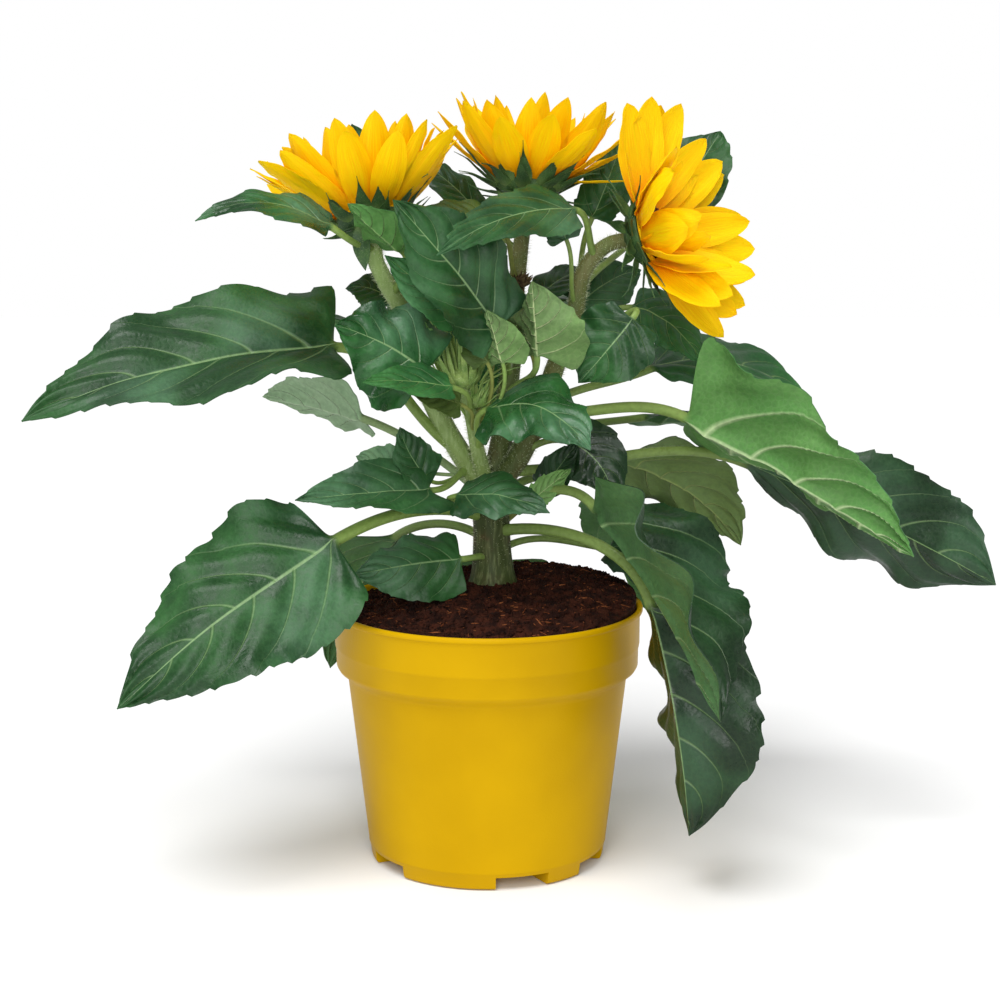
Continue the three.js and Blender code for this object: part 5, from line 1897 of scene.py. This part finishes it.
@dataclass(frozen=True)
class Soil:
    """Loose soil in the pot, mounded towards the back right and level at the stem's seat."""

    edge: float = 139.4
    crest: float = 157.0
    crest_place: tuple = (22.0, 16.0)
    reach: float = 85.8
    seat: float = 154.5
    seat_place: tuple = (3.0, 0.0)

    def height(self, x: Array, y: Array) -> Array:
        """Give the height of the mound: a cosine hill with small lumps, level under the stem.

        Args:
            x: places to the right.
            y: places to the back.

        Returns:
            The height at each place.
        """
        offset = np.minimum(np.hypot(x - self.crest_place[0], y - self.crest_place[1]) / self.reach, 1)
        hill = self.edge + (self.crest - self.edge) * np.cos(offset * np.pi / 2) ** 0.9
        fade = np.clip((self.reach - np.hypot(x, y)) / 20, 0, 1)
        lumps = 1.1 * fade * np.sin(x * 0.19 + 1) * np.cos(y * 0.23 - x * 0.07)
        near = ease((np.hypot(x - self.seat_place[0], y - self.seat_place[1]) - 15) / 10)
        return mix(self.seat, hill + lumps, near)

    def form(self) -> Form:
        """Make the mound on a grid of rings, rough with small crumbs, closed inside the pot.

        Returns:
            The closed mound.
        """
        rows, columns = SOIL_GRID
        radius = np.linspace(0.05, 82.2, rows)[::-1, None]
        angle = circle(columns)
        x, y = radius * np.cos(angle), radius * np.sin(angle)
        rough = 0.8 * waves(1, x * 0.55, y * 0.55) + 0.5 * waves(2, x * 1.3, y * 1.3) + 0.35 * hash_noise(3, x, y)
        z = self.height(x, y) + rough * ease((82.3 - radius) / 5)
        under = np.stack([x[:1] * 0.99, y[:1] * 0.99, 0 * z[:1] + SOIL_UNDERSIDE], axis=-1)
        rings = np.concatenate([under, np.stack([x, y, z], axis=-1)])
        return loft(rings, angle / 7, np.linspace(0, 1, len(rings)))

    def crumbs(self, count: int, size: tuple[float, float], seed: float, stretch: float = 1.0) -> Form:
        """Scatter small uneven grains over the mound.

        Args:
            count: how many.
            size: the least and greatest radius.
            seed: makes one scatter unlike another.
            stretch: how much longer than wide each grain is.

        Returns:
            Closed grains in one form.
        """
        k = np.arange(count)
        far = 80.5 * np.sqrt((hash_noise(seed, k) + 1) / 2)
        angle = np.pi * hash_noise(seed + 1, k)
        x, y = far * np.cos(angle), far * np.sin(angle)
        radius = mix(*size, ((hash_noise(seed + 2, k) + 1) / 2) ** 2)
        turn = circle(5)
        belt = np.stack([np.cos(turn), np.sin(turn), 0 * turn], -1)
        rings = np.stack([belt * 0.7 - UP * 0.6, belt * 1.0 + UP * 0.1, belt * 0.55 + UP * 0.8])
        bumps = 1 + 0.3 * hash_noise(seed + 3, k[:, None, None], np.arange(3)[:, None], np.arange(5))
        grain = rings * bumps[..., None] * radius[:, None, None, None]
        heading = np.pi * hash_noise(seed + 4, k)
        pull = np.stack([np.cos(heading), np.sin(heading), 0.3 * hash_noise(seed + 5, k)], -1)
        pull = unit(pull)[:, None, None]
        grain = grain + pull * ((grain * pull).sum(-1, keepdims=True) * (stretch - 1))
        grain = grain + np.stack([x, y, self.height(x, y) + 0.2], -1)[:, None, None]
        return loft(grain, turn / 7, np.array([0.0, 0.5, 1.0]))

    def build(self) -> None:
        """Stand the soil, its crumbs and its fibres in the scene."""
        self.form().stand("soil_look", Slot.SOIL, Skin.SOIL, ("soil",))
        self.crumbs(2600, (0.5, 1.9), 11.0).stand("soil_crumbs", Slot.SOIL, Skin.SOIL)
        self.crumbs(420, (0.25, 0.5), 17.0, 9.0).stand("soil_fibres", Slot.SOIL, Skin.FIBRE)


# The whole


BEHIND_HEAD = (25.0, 13.3)
BEHIND_BUD = (6.0, 0.3)


@dataclass
class Plant:
    """The stems, leaves, heads and buds, and the stems' axes once these are built."""

    stems: dict[str, Stem]
    leaves: list[Leaf]
    sprigs: list[Leaf]
    heads: list[Head]
    buds: list[Bud]
    dried: list[Bud]
    axes: dict[str, Array] = field(default_factory=dict)

    def build_stems(self) -> None:
        """Stand the stems and their hairs in the scene."""
        carried = {h.side: (np.array(h.place), np.array(h.axis), *BEHIND_HEAD) for h in self.heads}
        bud = self.buds[0]
        carried["bud"] = (np.array(bud.place), np.array(bud.axis), *BEHIND_BUD)
        self.axes = {key: stem.axis(carried) for key, stem in self.stems.items()}
        pairs = list(zip(self.stems.values(), self.axes.values()))
        for seed, (stem, axis) in enumerate(pairs):
            stem.form(axis, seed).stand(f"{stem.node}_look", Slot.STEM, stem.kind, (stem.node,))
        hairs = Form.joined([stem.hairs(axis, seed) for seed, (stem, axis) in enumerate(pairs)])
        hairs.stand("stem_hairs", Slot.STEM, Skin.HAIR)

    def build_leaves(self) -> None:
        """Stand the leaves in the scene, then the sprigs, which replace no node."""
        for seed, leaf in enumerate(self.leaves + self.sprigs):
            node = f"leaf_{leaf.name}"
            nodes = (node,) if seed < len(self.leaves) else ()
            leaf.form(self.axes[leaf.stem], float(seed)).stand(f"{node}_look", Slot.LEAF, leaf.kind, nodes)

    def build(self) -> None:
        """Stand every piece of the plant in the scene."""
        self.build_stems()
        self.build_leaves()
        for head in self.heads:
            head.build()
        for bud in self.buds:
            bud.form().stand(f"{bud.name}_look", Slot.BRACT, Skin.YOUNG_BRACT, (bud.name,))
        Form.joined([bud.form() for bud in self.dried]).stand("dried_buds", Slot.BRACT, Skin.DRIED_BUD)


@dataclass(frozen=True)
class Lamp:
    """A light, SUN or AREA, that looks at the plant's middle.

    Its size is how wide it seems, in radians for a sun and in metres for an area.
    """

    kind: str
    place: tuple
    power: float
    size: float

    def build(self, name: str) -> None:
        """Hang the light.

        Args:
            name: the light's name.
        """
        data = bpy.data.lights.new(name, self.kind)
        data.energy = self.power
        setattr(data, "angle" if self.kind == "SUN" else "size", self.size)
        lamp = bpy.data.objects.new(name, data)
        lamp.location = self.place
        x, y, z = np.array([0.0, 0.0, 0.22]) - np.array(self.place)
        lamp.rotation_euler = (np.pi / 2 + np.arctan2(z, np.hypot(x, y)), 0.0, np.arctan2(-x, y))
        bpy.context.scene.collection.objects.link(lamp)


@dataclass(frozen=True)
class Studio:
    """The photographer's floor, lights and camera, in metres and degrees, with the lens in millimetres."""

    distance: float = 1.073
    eye: float = 0.380
    pitch: float = 9.52
    lens: float = 71.42
    shift: float = 0.0127
    ambient: float = 0.5
    key: Lamp = Lamp("SUN", (-0.2, -0.5, 1.3), 2.3, 0.6)
    front: Lamp = Lamp("AREA", (-0.1, -1.9, 0.85), 20.0, 1.0)

    def build(self) -> None:
        """Set the floor, the world, the lights and the camera."""
        self.build_floor()
        self.build_world()
        self.key.build("key")
        self.front.build("front")
        self.build_camera()

    def build_floor(self) -> None:
        """Lay the pale floor, half a millimetre below the pot."""
        bpy.ops.mesh.primitive_plane_add(size=8)
        floor = bpy.context.object
        floor.name = "floor"
        white = bpy.data.materials.new("floor")
        white.use_nodes = True
        surface = white.node_tree.nodes["Principled BSDF"].inputs
        surface["Base Color"].default_value = (0.9, 0.9, 0.9, 1)
        surface["Roughness"].default_value = 0.9
        surface["Specular IOR Level"].default_value = 0.1
        floor.data.materials.append(white)
        floor.location.z = -0.0005
        floor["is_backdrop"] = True

    def build_world(self) -> None:
        """Set a world that the camera sees white and that lights more weakly."""
        world = bpy.data.worlds.new("studio")
        world.use_nodes = True
        graph = Graph(world.node_tree)
        seen = graph.add("ShaderNodeLightPath", {}).outputs["Is Camera Ray"]
        background = world.node_tree.nodes["Background"].inputs
        graph.put(background["Color"], (1.0, 1.0, 1.0, 1.0))
        graph.put(background["Strength"], graph.math("MULTIPLY_ADD", seen, 1.0 - self.ambient, self.ambient))
        bpy.context.scene.world = world
        bpy.context.scene.view_settings.view_transform = "Standard"

    def build_camera(self) -> None:
        """Set the camera at the photo's viewing angle."""
        camera = bpy.data.objects.new("camera", bpy.data.cameras.new("camera"))
        camera.location = (0.0, -self.distance, self.eye)
        camera.rotation_euler = (radians(90 - self.pitch), 0.0, 0.0)
        camera.data.lens = self.lens
        camera.data.sensor_width = 36.0
        camera.data.shift_x = self.shift
        camera.data.clip_start = 0.05
        bpy.context.scene.collection.objects.link(camera)
        bpy.context.scene.camera = camera


def corners() -> list[list[float]]:
    """Give the shown object's lowest and highest corner as plain lists."""
    low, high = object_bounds()
    return [list(low), list(high)]


def main() -> None:
    """Build the look of the plant in its pot."""
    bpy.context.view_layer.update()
    Pot().build()
    Soil().build()
    Plant(STEMS, LEAVES, SPRIGS, HEADS, BUDS, DRIED).build()
    Studio().build()


if __name__ == "__main__":
    logging.basicConfig(level=logging.INFO)
    main()
